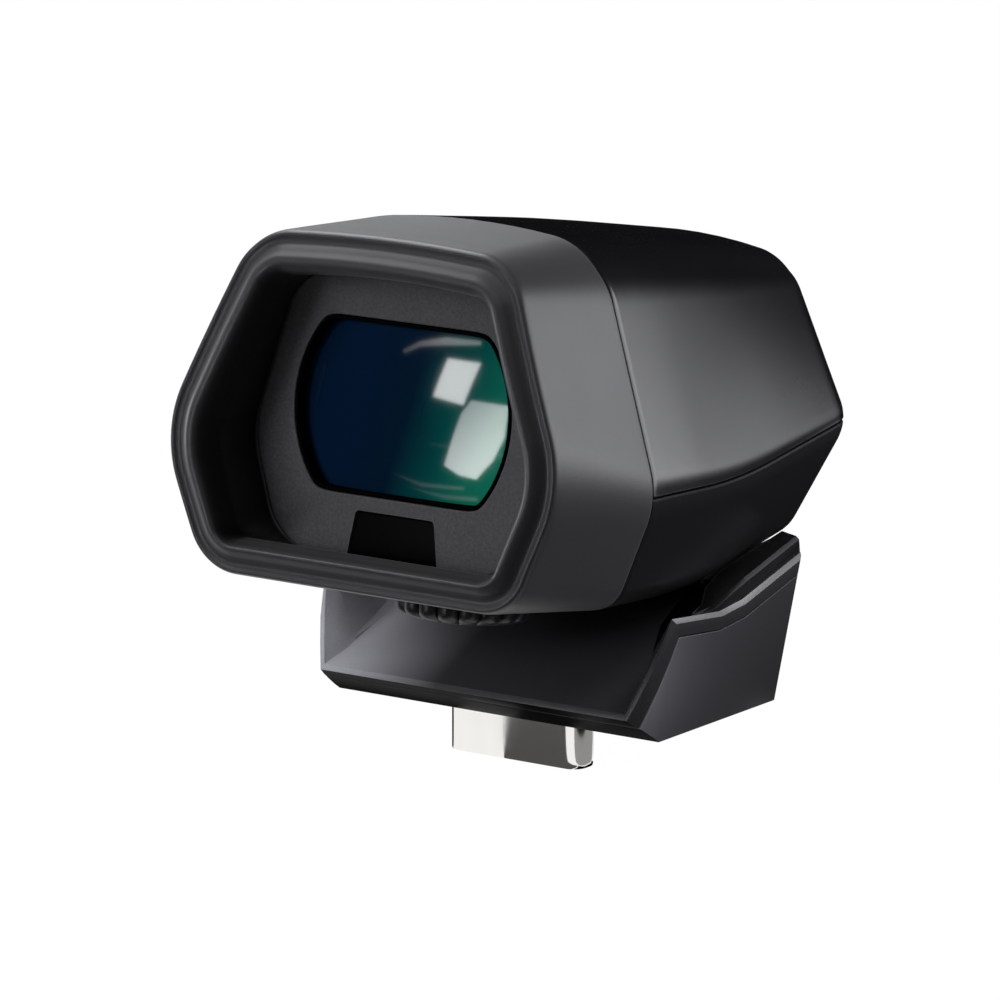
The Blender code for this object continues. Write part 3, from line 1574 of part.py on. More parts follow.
def build():
    start_empty()
    look = make_materials()
    tray(look["gloss"])
    cradle(look["satin"])
    plug_shell(look["nickel"])
    plug_insulator(look["black"])
    plug_contacts(look["gold"])
    plug_board(look["board"])
    tilt_shaft(look["steel"])
    friction_washer("friction_washer_left", -1.0, look["nylon"])
    friction_washer("friction_washer_right", 1.0, look["nylon"])
    for number, (x, y) in enumerate(boss_places(), 1):
        screw("tray_screw_%d" % number, x, y, screw_sink, screw_bite, look["steel"])

    screw_axis = empty("screw_axis", (0.0, mount_screw_y, 0.0))
    for piece in (mounting_screw(look["steel"]), screw_clip(look["steel"])):
        piece.parent = screw_axis

    head_pivot = empty("head_pivot", (0.0, pivot_y, pivot_z), -rest_pitch)
    head_axes = empty("head_axes", (0.0, -pivot_along(), -pivot_above()), 0.0, head_pivot)
    head = [eyecup(look["rubber"]), eyepiece_plate(look["plate"]), sensor_window(look["smoked"]),
            sensor_board(look["board"]), front_lens(look["glass"]), lens_holder(look["black"]),
            front_frame(look["black"]), upper_housing(look["satin"]), lower_housing(look["gloss"]),
            optics_chassis(look["alloy"]), guide_rod("guide_rod_left", -1.0, look["steel"]),
            guide_rod("guide_rod_right", 1.0, look["steel"]), display_holder(look["black"]),
            display_panel(look["screen"]), driver_board(look["board"]), display_flex(look["flex"]),
            hinge_arm(look["alloy"])]
    for number, (x, y) in enumerate(housing_screw_places(), 1):
        head.append(screw("housing_screw_%d" % number, x, y, floor_level(y) + screw_sink, screw_bite,
                          look["steel"]))
    for number, (x, y) in enumerate(arm_screw_places(), 1):
        head.append(screw("arm_screw_%d" % number, x, y, floor_level(y) + screw_sink, arm_screw_bite,
                          look["steel"]))
    for piece in head:
        piece.parent = head_axes

    carriage = empty("carriage_axis", (0.0, 0.0, optical_z), 0.0, head_axes)
    moving = [lens_barrel(look["black"])] + barrel_contents(look["inner_glass"], look["alloy"])
    for piece in moving:
        piece.location = (0.0, 0.0, -optical_z)
        piece.parent = carriage

    dial_axis = empty("dial_axis", (0.0, dial_y, 0.0), 0.0, head_axes)
    for piece in (dioptre_dial(look["black"]), dial_pinion(look["brass"]), dial_screw(look["steel"])):
        piece.parent = dial_axis


build()
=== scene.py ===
from functools import partial
import json
import math

import bmesh
import bpy
import numpy as np
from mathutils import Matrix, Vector

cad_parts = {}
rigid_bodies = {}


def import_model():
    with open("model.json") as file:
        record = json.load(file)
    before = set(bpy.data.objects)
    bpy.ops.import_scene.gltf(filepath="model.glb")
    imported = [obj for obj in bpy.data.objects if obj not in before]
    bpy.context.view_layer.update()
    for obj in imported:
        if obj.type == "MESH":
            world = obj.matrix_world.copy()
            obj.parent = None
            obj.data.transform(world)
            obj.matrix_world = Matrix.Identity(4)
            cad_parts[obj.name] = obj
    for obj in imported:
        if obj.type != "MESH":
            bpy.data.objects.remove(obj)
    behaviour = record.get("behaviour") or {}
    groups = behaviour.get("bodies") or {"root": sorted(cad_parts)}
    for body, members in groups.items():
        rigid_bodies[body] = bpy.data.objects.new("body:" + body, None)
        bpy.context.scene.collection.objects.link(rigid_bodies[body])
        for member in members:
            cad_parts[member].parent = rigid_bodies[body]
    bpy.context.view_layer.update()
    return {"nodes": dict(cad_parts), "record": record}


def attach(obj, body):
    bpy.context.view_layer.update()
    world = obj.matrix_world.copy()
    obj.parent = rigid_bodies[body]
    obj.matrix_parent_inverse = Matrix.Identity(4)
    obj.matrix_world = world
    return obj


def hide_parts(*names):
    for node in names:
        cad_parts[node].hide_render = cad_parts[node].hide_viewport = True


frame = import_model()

nodes = frame["nodes"]
print("frame loaded:", len(nodes), "nodes")


# arrays, sections and meshes

def mix(a, b, share):
    return a + (b - a) * share


def ease(share):
    # smooth step: 3 s squared less 2 s cubed
    share = np.clip(share, 0.0, 1.0)
    return share * share * (3.0 - 2.0 * share)


def smoothPath(points, perSpan):
    # Catmull-Rom curve through the points, perSpan steps between neighbours
    p = np.asarray(points, float)
    p = np.vstack([2 * p[0] - p[1], p, 2 * p[-1] - p[-2]])
    t = np.linspace(0.0, 1.0, perSpan, endpoint=False)[None, :, None]
    a, b, c, d = (p[i:len(p) - 3 + i][:, None] for i in range(4))
    curve = 0.5 * (2 * b + (c - a) * t + (2 * a - 5 * b + 4 * c - d) * t ** 2
                   + (3 * b - a - 3 * c + d) * t ** 3)
    return np.vstack([curve.reshape(-1, p.shape[1]), p[-2]])


def gridQuads(rows, cols, rowsMeet=False, colsMeet=False, start=0):
    # quads between neighbouring rows and columns of a grid of points
    r, c = np.meshgrid(np.arange(rows if rowsMeet else rows - 1),
                       np.arange(cols if colsMeet else cols - 1), indexing="ij")
    r1, c1 = (r + 1) % rows, (c + 1) % cols
    return start + np.stack([r * cols + c, r * cols + c1, r1 * cols + c1, r1 * cols + c], -1).reshape(-1, 4)


def addObject(name, data):
    thing = bpy.data.objects.new(name, data)
    bpy.context.scene.collection.objects.link(thing)
    return thing


def newMesh(name, verts, faces):
    mesh = bpy.data.meshes.new(name)
    mesh.from_pydata(np.asarray(verts, float).reshape(-1, 3).tolist(), [], faces)
    return mesh


def faceList(groups):
    return [face for group in groups for face in np.asarray(group).tolist()]


# in degrees: faces that meet under this angle are shaded smooth, unless a piece names its own
smoothAngle = 35.0


def makePiece(name, shape, look, node=None, smooth=smoothAngle):
    # mesh from arrays, turned outwards by the sign of its volume; it rides on its node's body or on the head
    verts, faces = np.asarray(shape[0], float).reshape(-1, 3), faceList(shape[1])
    volume = 0.0
    for size in (3, 4):
        part = np.array([face for face in faces if len(face) == size], int).reshape(-1, size)
        for k in range(1, size - 1):
            a, b, c = verts[part[:, 0]], verts[part[:, k]], verts[part[:, k + 1]]
            volume += np.einsum("ij,ij->i", a, np.cross(b, c)).sum()
    if volume < 0:
        faces = [face[::-1] for face in faces]
    mesh = newMesh(name, verts, faces)
    mesh.validate()
    return finishPiece(addObject(name, mesh), look, node, smooth)


def finishMesh(thing, look, smooth):
    # shaded smooth up to an angle
    mesh = thing.data
    mesh.polygons.foreach_set("use_smooth", np.ones(len(mesh.polygons), bool))
    mesh.set_sharp_from_angle(angle=math.radians(smooth))
    mesh.materials.clear()
    mesh.materials.append(looks[look])


def finishPiece(thing, look, node, smooth):
    finishMesh(thing, look, smooth)
    if node:
        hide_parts(node)
    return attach(thing, nodes[node].parent.name.split(":")[1] if node else "head")


def applyModifiers(thing):
    bpy.context.view_layer.update()
    result = bpy.data.meshes.new_from_object(thing.evaluated_get(bpy.context.evaluated_depsgraph_get()))
    thing.modifiers.clear()
    thing.data = result


def readVectors(rows, field):
    # one vector for each vertex or face of a mesh
    values = np.empty(len(rows) * 3)
    rows.foreach_get(field, values)
    return values.reshape(-1, 3)


def shadeBy(thing, values, domain="POINT"):
    # painted shade for each point or face, from 0 to 1, kept on the mesh; the material darkens colour and
    # gloss by it
    layer = thing.data.attributes.new("recess", "FLOAT", domain)
    layer.data.foreach_set("value", np.asarray(values, np.float32))
    return thing


def skin(outer, inner):
    # closed wall between two grids of the same shape, joined along their edge
    rows, cols = outer.shape[:2]
    index = np.arange(rows * cols).reshape(rows, cols)
    rim = np.concatenate([index[0], index[1:, -1], index[-1, -2::-1], index[-2:0:-1, 0]])
    after = np.roll(rim, -1)
    count = rows * cols
    edge = np.stack([after, rim, rim + count, after + count], -1)
    verts = np.vstack([outer.reshape(-1, 3), inner.reshape(-1, 3)])
    return verts, [gridQuads(rows, cols), gridQuads(rows, cols, start=count)[:, ::-1], edge]


def ringRun(grid):
    # closed run of rings: rows meet end to end, columns meet round the ring
    return grid.reshape(-1, 3), [gridQuads(*grid.shape[:2], True, True)]


def capped(grid):
    # rings in a row, the first and the last drawn together to a point at their middle
    rows, cols = grid.shape[:2]
    verts = np.vstack([grid.reshape(-1, 3), grid[0].mean(0), grid[-1].mean(0)])
    k = np.arange(cols)
    nextK = (k + 1) % cols
    low = np.stack([np.full(cols, rows * cols), nextK, k], -1)
    high = np.stack([np.full(cols, rows * cols + 1), (rows - 1) * cols + k, (rows - 1) * cols + nextK], -1)
    return verts, [gridQuads(rows, cols, False, True), low, high]


headPlace = {"pitch": math.radians(7.0), "rimBack": 0.0458, "rimHeight": 0.0231}


def tipped(points):
    # head axes (x, along the view, up) turned by the pitch about x
    c, s = math.cos(headPlace["pitch"]), math.sin(headPlace["pitch"])
    x, y, z = points[..., 0], points[..., 1], points[..., 2]
    return np.stack([x, y * c + z * s, z * c - y * s], -1)


def toWorld(points):
    # tipped, then moved so that the rim's bottom comes to its place
    return tipped(points) + (0.0, -headPlace["rimBack"], headPlace["rimHeight"])


# half width and height of the roof, waist and floor corners, crown, then the three corner radii
rimSizes = np.array([.0210, .0462, .0328, .0182, .0251, .0, .0009, .0085, .0170, .0080])
seamSizes = np.array([.0210, .0472, .0327, .0154, .0272, -.0004, .0019, .0110, .0110, .0055])
bendSizes = np.array([.0195, .0464, .0308, .0165, .0242, .0002, .0020, .0100, .0080, .0055])
tailSizes = np.array([.0179, .0444, .0293, .0226, .0206, .0058, .0022, .0075, .0060, .0055])
openingSizes = np.array([.0178, .0408, .0237, .0186, .0184, .0036, .0006, .0070, .0120, .0085])
headRun = {"seam": 0.0213, "bend": 0.0450, "tail": 0.0720, "softness": 0.0090, "rimBow": 0.0016,
           "rimLean": 0.0012, "rimFade": 0.0080, "sink": 0.0011, "sinkFrom": 0.0030, "sinkRun": 0.0030,
           "arcSteps": 14, "sideSteps": 8, "leastRadius": 0.0003}


def headSizes(y):
    # straight from rim to seam, then two straight runs whose bend is rounded by a parabola
    y = np.asarray(y, float)[:, None]
    front = mix(rimSizes, seamSizes, y / headRun["seam"])
    first = (bendSizes - seamSizes) / (headRun["bend"] - headRun["seam"])
    second = (tailSizes - bendSizes) / (headRun["tail"] - headRun["bend"])
    past, soft = y - headRun["bend"], headRun["softness"]
    ramp = np.where(past >= soft, past, np.where(past <= -soft, 0.0, (past + soft) ** 2 / (4 * soft)))
    back = seamSizes + first * (y - headRun["seam"]) + (second - first) * ramp
    return np.where(y <= headRun["seam"], front, back)


def insetSizes(sizes, inset):
    # all six sides of the section move inwards by the inset
    inset = np.broadcast_to(np.asarray(inset, float), sizes.shape[:1])
    roofX, roofZ, waistX, waistZ, floorX, floorZ, crown = sizes[:, :7].T
    upper = np.arctan2(waistX - roofX, roofZ - waistZ)
    lower = np.arctan2(waistX - floorX, waistZ - floorZ)
    shift = inset / np.cos((upper + lower) / 2)
    radii = np.maximum(sizes[:, 7:] - inset[:, None], headRun["leastRadius"])
    return np.column_stack([roofX - inset / np.cos(upper) + inset * np.tan(upper), roofZ - inset,
                            waistX - shift * np.cos((upper - lower) / 2),
                            waistZ - shift * np.sin((upper - lower) / 2),
                            floorX - inset / np.cos(lower) + inset * np.tan(lower), floorZ + inset,
                            crown, radii])


def roundCorners(corners, radii, steps):
    # arcs in the corners of closed outlines: centre on the bisector, at radius over sine of the half angle
    one = np.roll(corners, 1, 1) - corners
    two = np.roll(corners, -1, 1) - corners
    one /= np.linalg.norm(one, axis=-1, keepdims=True)
    two /= np.linalg.norm(two, axis=-1, keepdims=True)
    halfAngle = np.arccos(np.clip((one * two).sum(-1, keepdims=True), -1, 1)) / 2
    middle = one + two
    middle /= np.linalg.norm(middle, axis=-1, keepdims=True)
    centre = corners + middle * radii / np.sin(halfAngle)
    start = corners + one * radii / np.tan(halfAngle) - centre
    turn = (np.pi - 2 * halfAngle) * np.linspace(0, 1, steps + 1)
    cosT, sinT, sx, sz = np.cos(turn), np.sin(turn), start[..., :1], start[..., 1:]
    return centre[:, :, None] + np.stack([sx * cosT - sz * sinT, sx * sinT + sz * cosT], -1)


def sectionPoints(sizes):
    # six rounded corners, sides divided evenly; starts at the right waist, goes over the crowned roof
    roofX, roofZ, waistX, waistZ, floorX, floorZ = sizes[:, :6].T
    corners = np.stack([np.stack(pair, -1) for pair in
                        ((waistX, waistZ), (roofX, roofZ), (-roofX, roofZ),
                         (-waistX, waistZ), (-floorX, floorZ), (floorX, floorZ))], 1)
    arcs = roundCorners(corners, sizes[:, [8, 7, 7, 8, 9, 9]][..., None], headRun["arcSteps"])
    share = np.linspace(0, 1, headRun["sideSteps"] + 1)[1:-1][None, None, :, None]
    sides = mix(arcs[:, :, -1:], np.roll(arcs[:, :, :1], -1, 1), share)
    points = np.concatenate([arcs, sides], 2).reshape(len(sizes), -1, 2)
    points = np.roll(points, -(headRun["arcSteps"] // 2), 1)
    x, z = points[..., 0], points[..., 1]
    lift = sizes[:, 6:7] * np.clip(1 - (x / sizes[:, :1]) ** 2, 0, None) * (z > sizes[:, 3:4])
    return np.stack([x, z + lift], -1)


def headRings(y, inset=0.0, opening=0.0):
    # rings round the head in head axes, their rim leaning and bowed; opening mixes towards the funnel's foot
    y = np.asarray(y, float)
    sizes = insetSizes(headSizes(y), inset)
    sunk = (np.broadcast_to(inset, y.shape) - headRun["sinkFrom"]) / headRun["sinkRun"]
    sizes[:, 5] -= headRun["sink"] * ease(sunk)
    opening = np.broadcast_to(np.asarray(opening, float), y.shape)[:, None]
    points = sectionPoints(mix(sizes, openingSizes, opening))
    x, z = points[..., 0], points[..., 1]
    share = 2 * z / rimSizes[1] - 1
    shift = headRun["rimLean"] * z / rimSizes[1] - headRun["rimBow"] * (1 - share ** 2)
    along = y[:, None] + shift * (1 - ease(y[:, None] / headRun["rimFade"]))
    return np.stack([x, along, z], -1)


# finishes: shared node groups, then one material for each

def nodeGroup(name, values, outputs):
    # a group that takes a Vector and named numbers, and gives out named numbers
    group = bpy.data.node_groups.new(name, "ShaderNodeTree")
    addSocket = group.interface.new_socket
    addSocket(name="Vector", in_out="INPUT", socket_type="NodeSocketVector")
    for label, value in values.items():
        addSocket(name=label, in_out="INPUT", socket_type="NodeSocketFloat").default_value = value
    for label in outputs:
        addSocket(name=label, in_out="OUTPUT", socket_type="NodeSocketFloat")
    return group, group.nodes.new("NodeGroupInput").outputs, group.nodes.new("NodeGroupOutput").inputs


def wire(tree, source, target):
    tree.links.new(source, target)


def setOrWire(tree, value, socket):
    if isinstance(value, bpy.types.NodeSocket):
        wire(tree, value, socket)
    else:
        socket.default_value = value


def mathNode(tree, operation, a, b, clamp=False):
    node = tree.nodes.new("ShaderNodeMath")
    node.operation, node.use_clamp = operation, clamp
    setOrWire(tree, a, node.inputs[0])
    setOrWire(tree, b, node.inputs[1])
    return node.outputs[0]


def sums(tree):
    # times, plus and minus, each wired as one Math node
    return [partial(mathNode, tree, operation) for operation in ("MULTIPLY", "ADD", "SUBTRACT")]


def noiseNode(tree, vector, scale, detail=3.0, rough=0.55):
    node = tree.nodes.new("ShaderNodeTexNoise")
    wire(tree, vector, node.inputs["Vector"])
    setOrWire(tree, scale, node.inputs["Scale"])
    node.inputs["Detail"].default_value = detail
    node.inputs["Roughness"].default_value = rough
    return node.outputs["Fac"]


def axes(tree, vector):
    split = tree.nodes.new("ShaderNodeSeparateXYZ")
    wire(tree, vector, split.inputs[0])
    return split.outputs


grainMix = {"fineScale": 0.6, "cells": 0.6, "fine": 0.7, "middle": 0.62}


def makeGrainGroup():
    # moulded grain: cells softened by noise; Height for the bump, Shade as a share round 1
    group, given, sent = nodeGroup("mouldGrain", {"Scale": 5200.0, "Contrast": 0.12}, ("Height", "Shade"))
    times, plus, minus = sums(group)
    cells = group.nodes.new("ShaderNodeTexVoronoi")
    cells.feature = "SMOOTH_F1"
    wire(group, given["Vector"], cells.inputs["Vector"])
    wire(group, given["Scale"], cells.inputs["Scale"])
    fine = noiseNode(group, given["Vector"], times(given["Scale"], grainMix["fineScale"]))
    height = plus(times(cells.outputs["Distance"], grainMix["cells"]), times(fine, grainMix["fine"]))
    wire(group, height, sent["Height"])
    wire(group, plus(times(minus(height, grainMix["middle"]), given["Contrast"]), 1.0), sent["Shade"])
    return group


handlingMix = {"cloudDetail": 4.0, "cloudRoughness": 0.6, "speckScale": 28.0, "speckDetail": 2.0,
               "speckFrom": 0.60, "speckGain": 6.0, "upFrom": 0.35, "upGain": 1.5}


def makeHandlingGroup():
    # broad cloudy patches where hands polish the surface, and settled dust on faces that look up
    group, given, sent = nodeGroup("handling", {"Scale": 55.0}, ("Polish", "Dust"))
    times, _, minus = sums(group)
    cloud = noiseNode(group, given["Vector"], given["Scale"], handlingMix["cloudDetail"],
                      handlingMix["cloudRoughness"])
    speck = noiseNode(group, given["Vector"], times(given["Scale"], handlingMix["speckScale"]),
                      handlingMix["speckDetail"])
    facing = axes(group, group.nodes.new("ShaderNodeNewGeometry").outputs["Normal"])
    up = times(minus(facing["Z"], handlingMix["upFrom"]), handlingMix["upGain"], clamp=True)
    specks = times(minus(speck, handlingMix["speckFrom"]), handlingMix["speckGain"], clamp=True)
    wire(group, cloud, sent["Polish"])
    wire(group, times(up, specks), sent["Dust"])
    return group


edgeMix = {"radius": 0.00025, "samples": 4, "gain": 9.0, "patchScale": 700.0, "patchDetail": 4.0,
           "patchGain": 1.5}


def makeEdgeGroup():
    # rubbed edges: where a rounded normal departs from the true one
    group, given, sent = nodeGroup("rubbedEdge", {"Strength": 1.0}, ("Mask",))
    times, _, minus = sums(group)
    bevel = group.nodes.new("ShaderNodeBevel")
    bevel.samples = edgeMix["samples"]
    bevel.inputs["Radius"].default_value = edgeMix["radius"]
    dot = group.nodes.new("ShaderNodeVectorMath")
    dot.operation = "DOT_PRODUCT"
    wire(group, bevel.outputs[0], dot.inputs[0])
    wire(group, group.nodes.new("ShaderNodeNewGeometry").outputs["Normal"], dot.inputs[1])
    bare = times(minus(1.0, dot.outputs["Value"]), edgeMix["gain"], clamp=True)
    patches = noiseNode(group, given["Vector"], edgeMix["patchScale"], edgeMix["patchDetail"])
    broken = times(patches, edgeMix["patchGain"], clamp=True)
    wire(group, times(times(bare, broken), given["Strength"], clamp=True), sent["Mask"])
    return group


grainGroup, handlingGroup, edgeGroup = makeGrainGroup(), makeHandlingGroup(), makeEdgeGroup()


def startMaterial(name):
    material = bpy.data.materials.new(name)
    material.use_nodes = True
    tree = material.node_tree
    shader = next(node for node in tree.nodes if node.type == "BSDF_PRINCIPLED").inputs
    return material, tree, shader, tree.nodes.new("ShaderNodeTexCoord").outputs["Object"]


def placeGroup(tree, group, coords, **values):
    node = tree.nodes.new("ShaderNodeGroup")
    node.node_tree = group
    wire(tree, coords, node.inputs["Vector"])
    for label, value in values.items():
        node.inputs[label.capitalize()].default_value = value
    return node.outputs


def tint(tree, factor, low, high, blend="MIX"):
    # colour mixed by the factor; a colour is three numbers or a socket
    node = tree.nodes.new("ShaderNodeMix")
    node.data_type, node.blend_type = "RGBA", blend
    setOrWire(tree, factor, node.inputs["Factor"])
    for socket, value in ((node.inputs[6], low), (node.inputs[7], high)):
        setOrWire(tree, value if isinstance(value, bpy.types.NodeSocket) else (*value, 1.0), socket)
    return node.outputs[2]


def multiplied(tree, colour, shade):
    return tint(tree, 1.0, colour, shade, "MULTIPLY")


def bumpNode(tree, shader, height, depth):
    bump = tree.nodes.new("ShaderNodeBump")
    bump.inputs["Strength"].default_value = 1.0
    bump.inputs["Distance"].default_value = depth
    wire(tree, height, bump.inputs["Height"])
    wire(tree, bump.outputs["Normal"], shader["Normal"])


wearAndLitEnd = {"cloud": 0.16, "cloudLeast": 0.92, "rubGain": 3.2, "rubLift": 0.02, "dust": (0.30, 0.29, 0.27),
        "litEndFrom": 0.006, "litEndRun": -0.024}


def moulded(name, colour, roughness, grain, depth, contrast, polish=0.08, dust=0.10, rub=0.25,
            specular=0.5, sheen=0.0, side=None, recessed=False):
    # plastic or rubber: grain, cloudy polish, dust on top, rubbed edges, and painted shade and painted light
    material, tree, shader, coords = startMaterial(name)
    times, plus, minus = sums(tree)
    grained = placeGroup(tree, grainGroup, coords, scale=grain, contrast=contrast)
    handled = placeGroup(tree, handlingGroup, coords)
    rubbed = placeGroup(tree, edgeGroup, coords, strength=rub)
    shade = times(grained["Shade"], plus(times(handled["Polish"], wearAndLitEnd["cloud"]), wearAndLitEnd["cloudLeast"]))
    shader["Specular IOR Level"].default_value = specular
    if recessed:
        # painted shade: shaded points lose both colour and gloss
        recess = tree.nodes.new("ShaderNodeAttribute")
        recess.attribute_name = "recess"
        kept = minus(1.0, recess.outputs["Fac"], clamp=True)
        shade = times(shade, kept)
        wire(tree, times(kept, specular), shader["Specular IOR Level"])
    groundWithLitEnd = colour
    if side:
        # painted light: the left end is paler, fading towards the middle
        past = plus(axes(tree, coords)["X"], wearAndLitEnd["litEndFrom"])
        fade = mathNode(tree, "DIVIDE", past, wearAndLitEnd["litEndRun"], clamp=True)
        groundWithLitEnd = tint(tree, fade, colour, side)
    pale = [min(1.0, wearAndLitEnd["rubGain"] * value + wearAndLitEnd["rubLift"]) for value in colour]
    worn = tint(tree, rubbed["Mask"], multiplied(tree, groundWithLitEnd, shade), pale)
    dusty = times(handled["Dust"], dust)
    wire(tree, tint(tree, dusty, worn, wearAndLitEnd["dust"]), shader["Base Color"])
    level = plus(times(handled["Polish"], -polish), roughness + polish / 2)
    wire(tree, plus(level, dusty, clamp=True), shader["Roughness"])
    bumpNode(tree, shader, grained["Height"], depth)
    shader["Sheen Weight"].default_value = sheen
    return material


metalMix = {"streakScale": 4.0, "streakDetail": 4.0, "streakRoughness": 0.6, "cloudScale": 140.0,
            "depth": 0.000004}


def metal(name, colour, roughness, brushed=(900.0, 900.0, 40.0), streak=0.12, metallic=1.0, stain=0.25):
    # metal: streaks along one axis in colour, roughness and bump, and a faint stain
    material, tree, shader, coords = startMaterial(name)
    times, plus, _ = sums(tree)
    mapping = tree.nodes.new("ShaderNodeMapping")
    mapping.inputs["Scale"].default_value = brushed
    wire(tree, coords, mapping.inputs["Vector"])
    streaks = noiseNode(tree, mapping.outputs[0], metalMix["streakScale"], metalMix["streakDetail"],
                        metalMix["streakRoughness"])
    handled = placeGroup(tree, handlingGroup, coords, scale=metalMix["cloudScale"])
    duller = [value * (1.0 - stain) for value in colour]
    wire(tree, tint(tree, times(handled["Polish"], streaks), colour, duller), shader["Base Color"])
    wire(tree, plus(times(streaks, streak), roughness - streak / 2, clamp=True), shader["Roughness"])
    bumpNode(tree, shader, streaks, metalMix["depth"])
    shader["Metallic"].default_value = metallic
    return material


board = {"cloudScale": 300.0, "dust": (0.25, 0.24, 0.2), "cloud": 0.2, "roughness": 0.25, "depth": 0.00003,
         "runs": {"Scale": 420.0, "Mortar Size": 0.03, "Color1": (0.006, 0.052, 0.026, 1),
                  "Color2": (0.010, 0.070, 0.034, 1), "Mortar": (0.030, 0.120, 0.050, 1)}}


def circuit(name):
    # green blocks of solder mask with paler runs between them, under a little dust
    material, tree, shader, coords = startMaterial(name)
    times, plus, _ = sums(tree)
    brick = tree.nodes.new("ShaderNodeTexBrick")
    wire(tree, coords, brick.inputs["Vector"])
    for label, value in board["runs"].items():
        brick.inputs[label].default_value = value
    handled = placeGroup(tree, handlingGroup, coords, scale=board["cloudScale"])
    wire(tree, tint(tree, handled["Dust"], brick.outputs["Color"], board["dust"]), shader["Base Color"])
    wire(tree, plus(times(handled["Polish"], board["cloud"]), board["roughness"]), shader["Roughness"])
    bumpNode(tree, shader, brick.outputs["Fac"], board["depth"])
    return material


lensLook = {"navy": (0.0022, 0.012, 0.036), "deep": (0.002, 0.013, 0.032), "teal": (0.002, 0.085, 0.080),
            "green": (0.012, 0.27, 0.165), "stops": (0.0, 0.30, 0.50, 0.72, 0.98), "half": 0.0175,
            "level": 0.0435, "drift": -0.30, "haze": 0.004, "hazeScale": 90.0, "hazeDetail": 2.0,
            "roughness": 0.05, "smear": 0.03, "smearScale": 260.0,
            "coat": {"Specular IOR Level": 0.6, "Coat Weight": 0.6, "Coat Roughness": 0.045, "Coat IOR": 1.5}}


def coatedLens(name):
    # painted reflection: the coating's tint as it reflects runs across the glass as colour from navy to
    # green, leaning with height, its borders blurred by a haze; faint smears change the roughness
    material, tree, shader, coords = startMaterial(name)
    times, plus, minus = sums(tree)
    place = axes(tree, coords)
    across = plus(place["X"], times(minus(place["Z"], lensLook["level"]), lensLook["drift"]))
    haze = noiseNode(tree, coords, lensLook["hazeScale"], lensLook["hazeDetail"])
    across = plus(across, times(minus(haze, 0.5), lensLook["haze"]))
    share = mathNode(tree, "DIVIDE", plus(across, lensLook["half"]), 2 * lensLook["half"], clamp=True)
    ramp = tree.nodes.new("ShaderNodeValToRGB")
    wire(tree, share, ramp.inputs["Fac"])
    colours = ("navy", "navy", "deep", "teal", "green")
    elements = ramp.color_ramp.elements
    while len(elements) < len(colours):
        elements.new(0.5)
    for element, position, colour in zip(elements, lensLook["stops"], colours):
        element.position, element.color = position, (*lensLook[colour], 1.0)
    wire(tree, ramp.outputs["Color"], shader["Base Color"])
    smear = times(noiseNode(tree, coords, lensLook["smearScale"]), lensLook["smear"])
    wire(tree, plus(smear, lensLook["roughness"]), shader["Roughness"])
    for label, value in lensLook["coat"].items():
        shader[label].default_value = value
    return material


glassLook = {"smearScale": 200.0, "darkest": 0.85, "smear": 0.04, "roughness": 0.02, "passing": 0.85,
             "index": 1.6}


def clearGlass(name, colour):
    # clear glass whose faint smears change colour and roughness
    material, tree, shader, coords = startMaterial(name)
    times, plus, _ = sums(tree)
    smear = noiseNode(tree, coords, glassLook["smearScale"])
    darker = [value * glassLook["darkest"] for value in colour]
    wire(tree, tint(tree, smear, colour, darker), shader["Base Color"])
    wire(tree, plus(times(smear, glassLook["smear"]), glassLook["roughness"]), shader["Roughness"])
    shader["Transmission Weight"].default_value = glassLook["passing"]
    shader["IOR"].default_value = glassLook["index"]
    return material


# for each finish the slot that it fills, none where single pieces wear it, then its colour and roughness;
# a moulding's grain size, bump depth and contrast come next
mouldings = {
    "eyecupRubber": ("matte_rubber", (0.034, 0.034, 0.037), 0.42, 4200.0, 0.000010, 0.25,
                     {"sheen": 0.10, "recessed": True}),
    "upperHousingSatin": ("satin_housing", (0.009, 0.009, 0.0105), 0.26, 7000.0, 0.000002, 0.15,
                          {"dust": 0.02, "recessed": True}),
    "lowerHousingBlack": (None, (0.014, 0.014, 0.015), 0.30, 7000.0, 0.000003, 0.2, {}),
    "plateGrain": ("eyepiece_plate", (0.066, 0.066, 0.070), 0.60, 3400.0, 0.000018, 0.9,
                   {"dust": 0.05, "recessed": True}),
    # the cradle's side colour paints light on its left end
    "cradleSatin": (None, (0.022, 0.022, 0.024), 0.40, 6500.0, 0.000006, 0.3,
                    {"dust": 0.02, "side": (0.30, 0.30, 0.32), "recessed": True}),
    "trayBlack": ("dark_housing", (0.032, 0.032, 0.035), 0.38, 6500.0, 0.000004, 0.2,
                  {"dust": 0.03, "recessed": True}),
    "innerBlack": ("black_plastic", (0.006, 0.006, 0.007), 0.5, 5000.0, 0.000006, 0.2,
                   {"dust": 0.02, "rub": 0.05}),
    "dialBlack": (None, (0.016, 0.016, 0.018), 0.40, 6000.0, 0.000005, 0.2, {"rub": 0.35}),
    "smokedPanel": ("smoked_window", (0.0012, 0.0012, 0.0015), 0.30, 900.0, 0.000001, 0.1,
                    {"polish": 0.03, "dust": 0.0, "rub": 0.0, "specular": 0.08}),
    "liningBlack": (None, (0.002, 0.002, 0.0025), 0.8, 5200.0, 0.000003, 0.1,
                    {"dust": 0.0, "rub": 0.0, "specular": 0.0}),
    "washerNylon": ("grey_nylon", (0.22, 0.22, 0.215), 0.5, 2500.0, 0.00001, 0.2, {}),
    "flexAmber": ("amber_flex", (0.36, 0.16, 0.03), 0.3, 900.0, 0.000003, 0.3, {}),
    "displayGlass": ("display_glass", (0.008, 0.010, 0.014), 0.08, 900.0, 0.000001, 0.2,
                     {"polish": 0.03, "dust": 0.02, "rub": 0.0}),
}
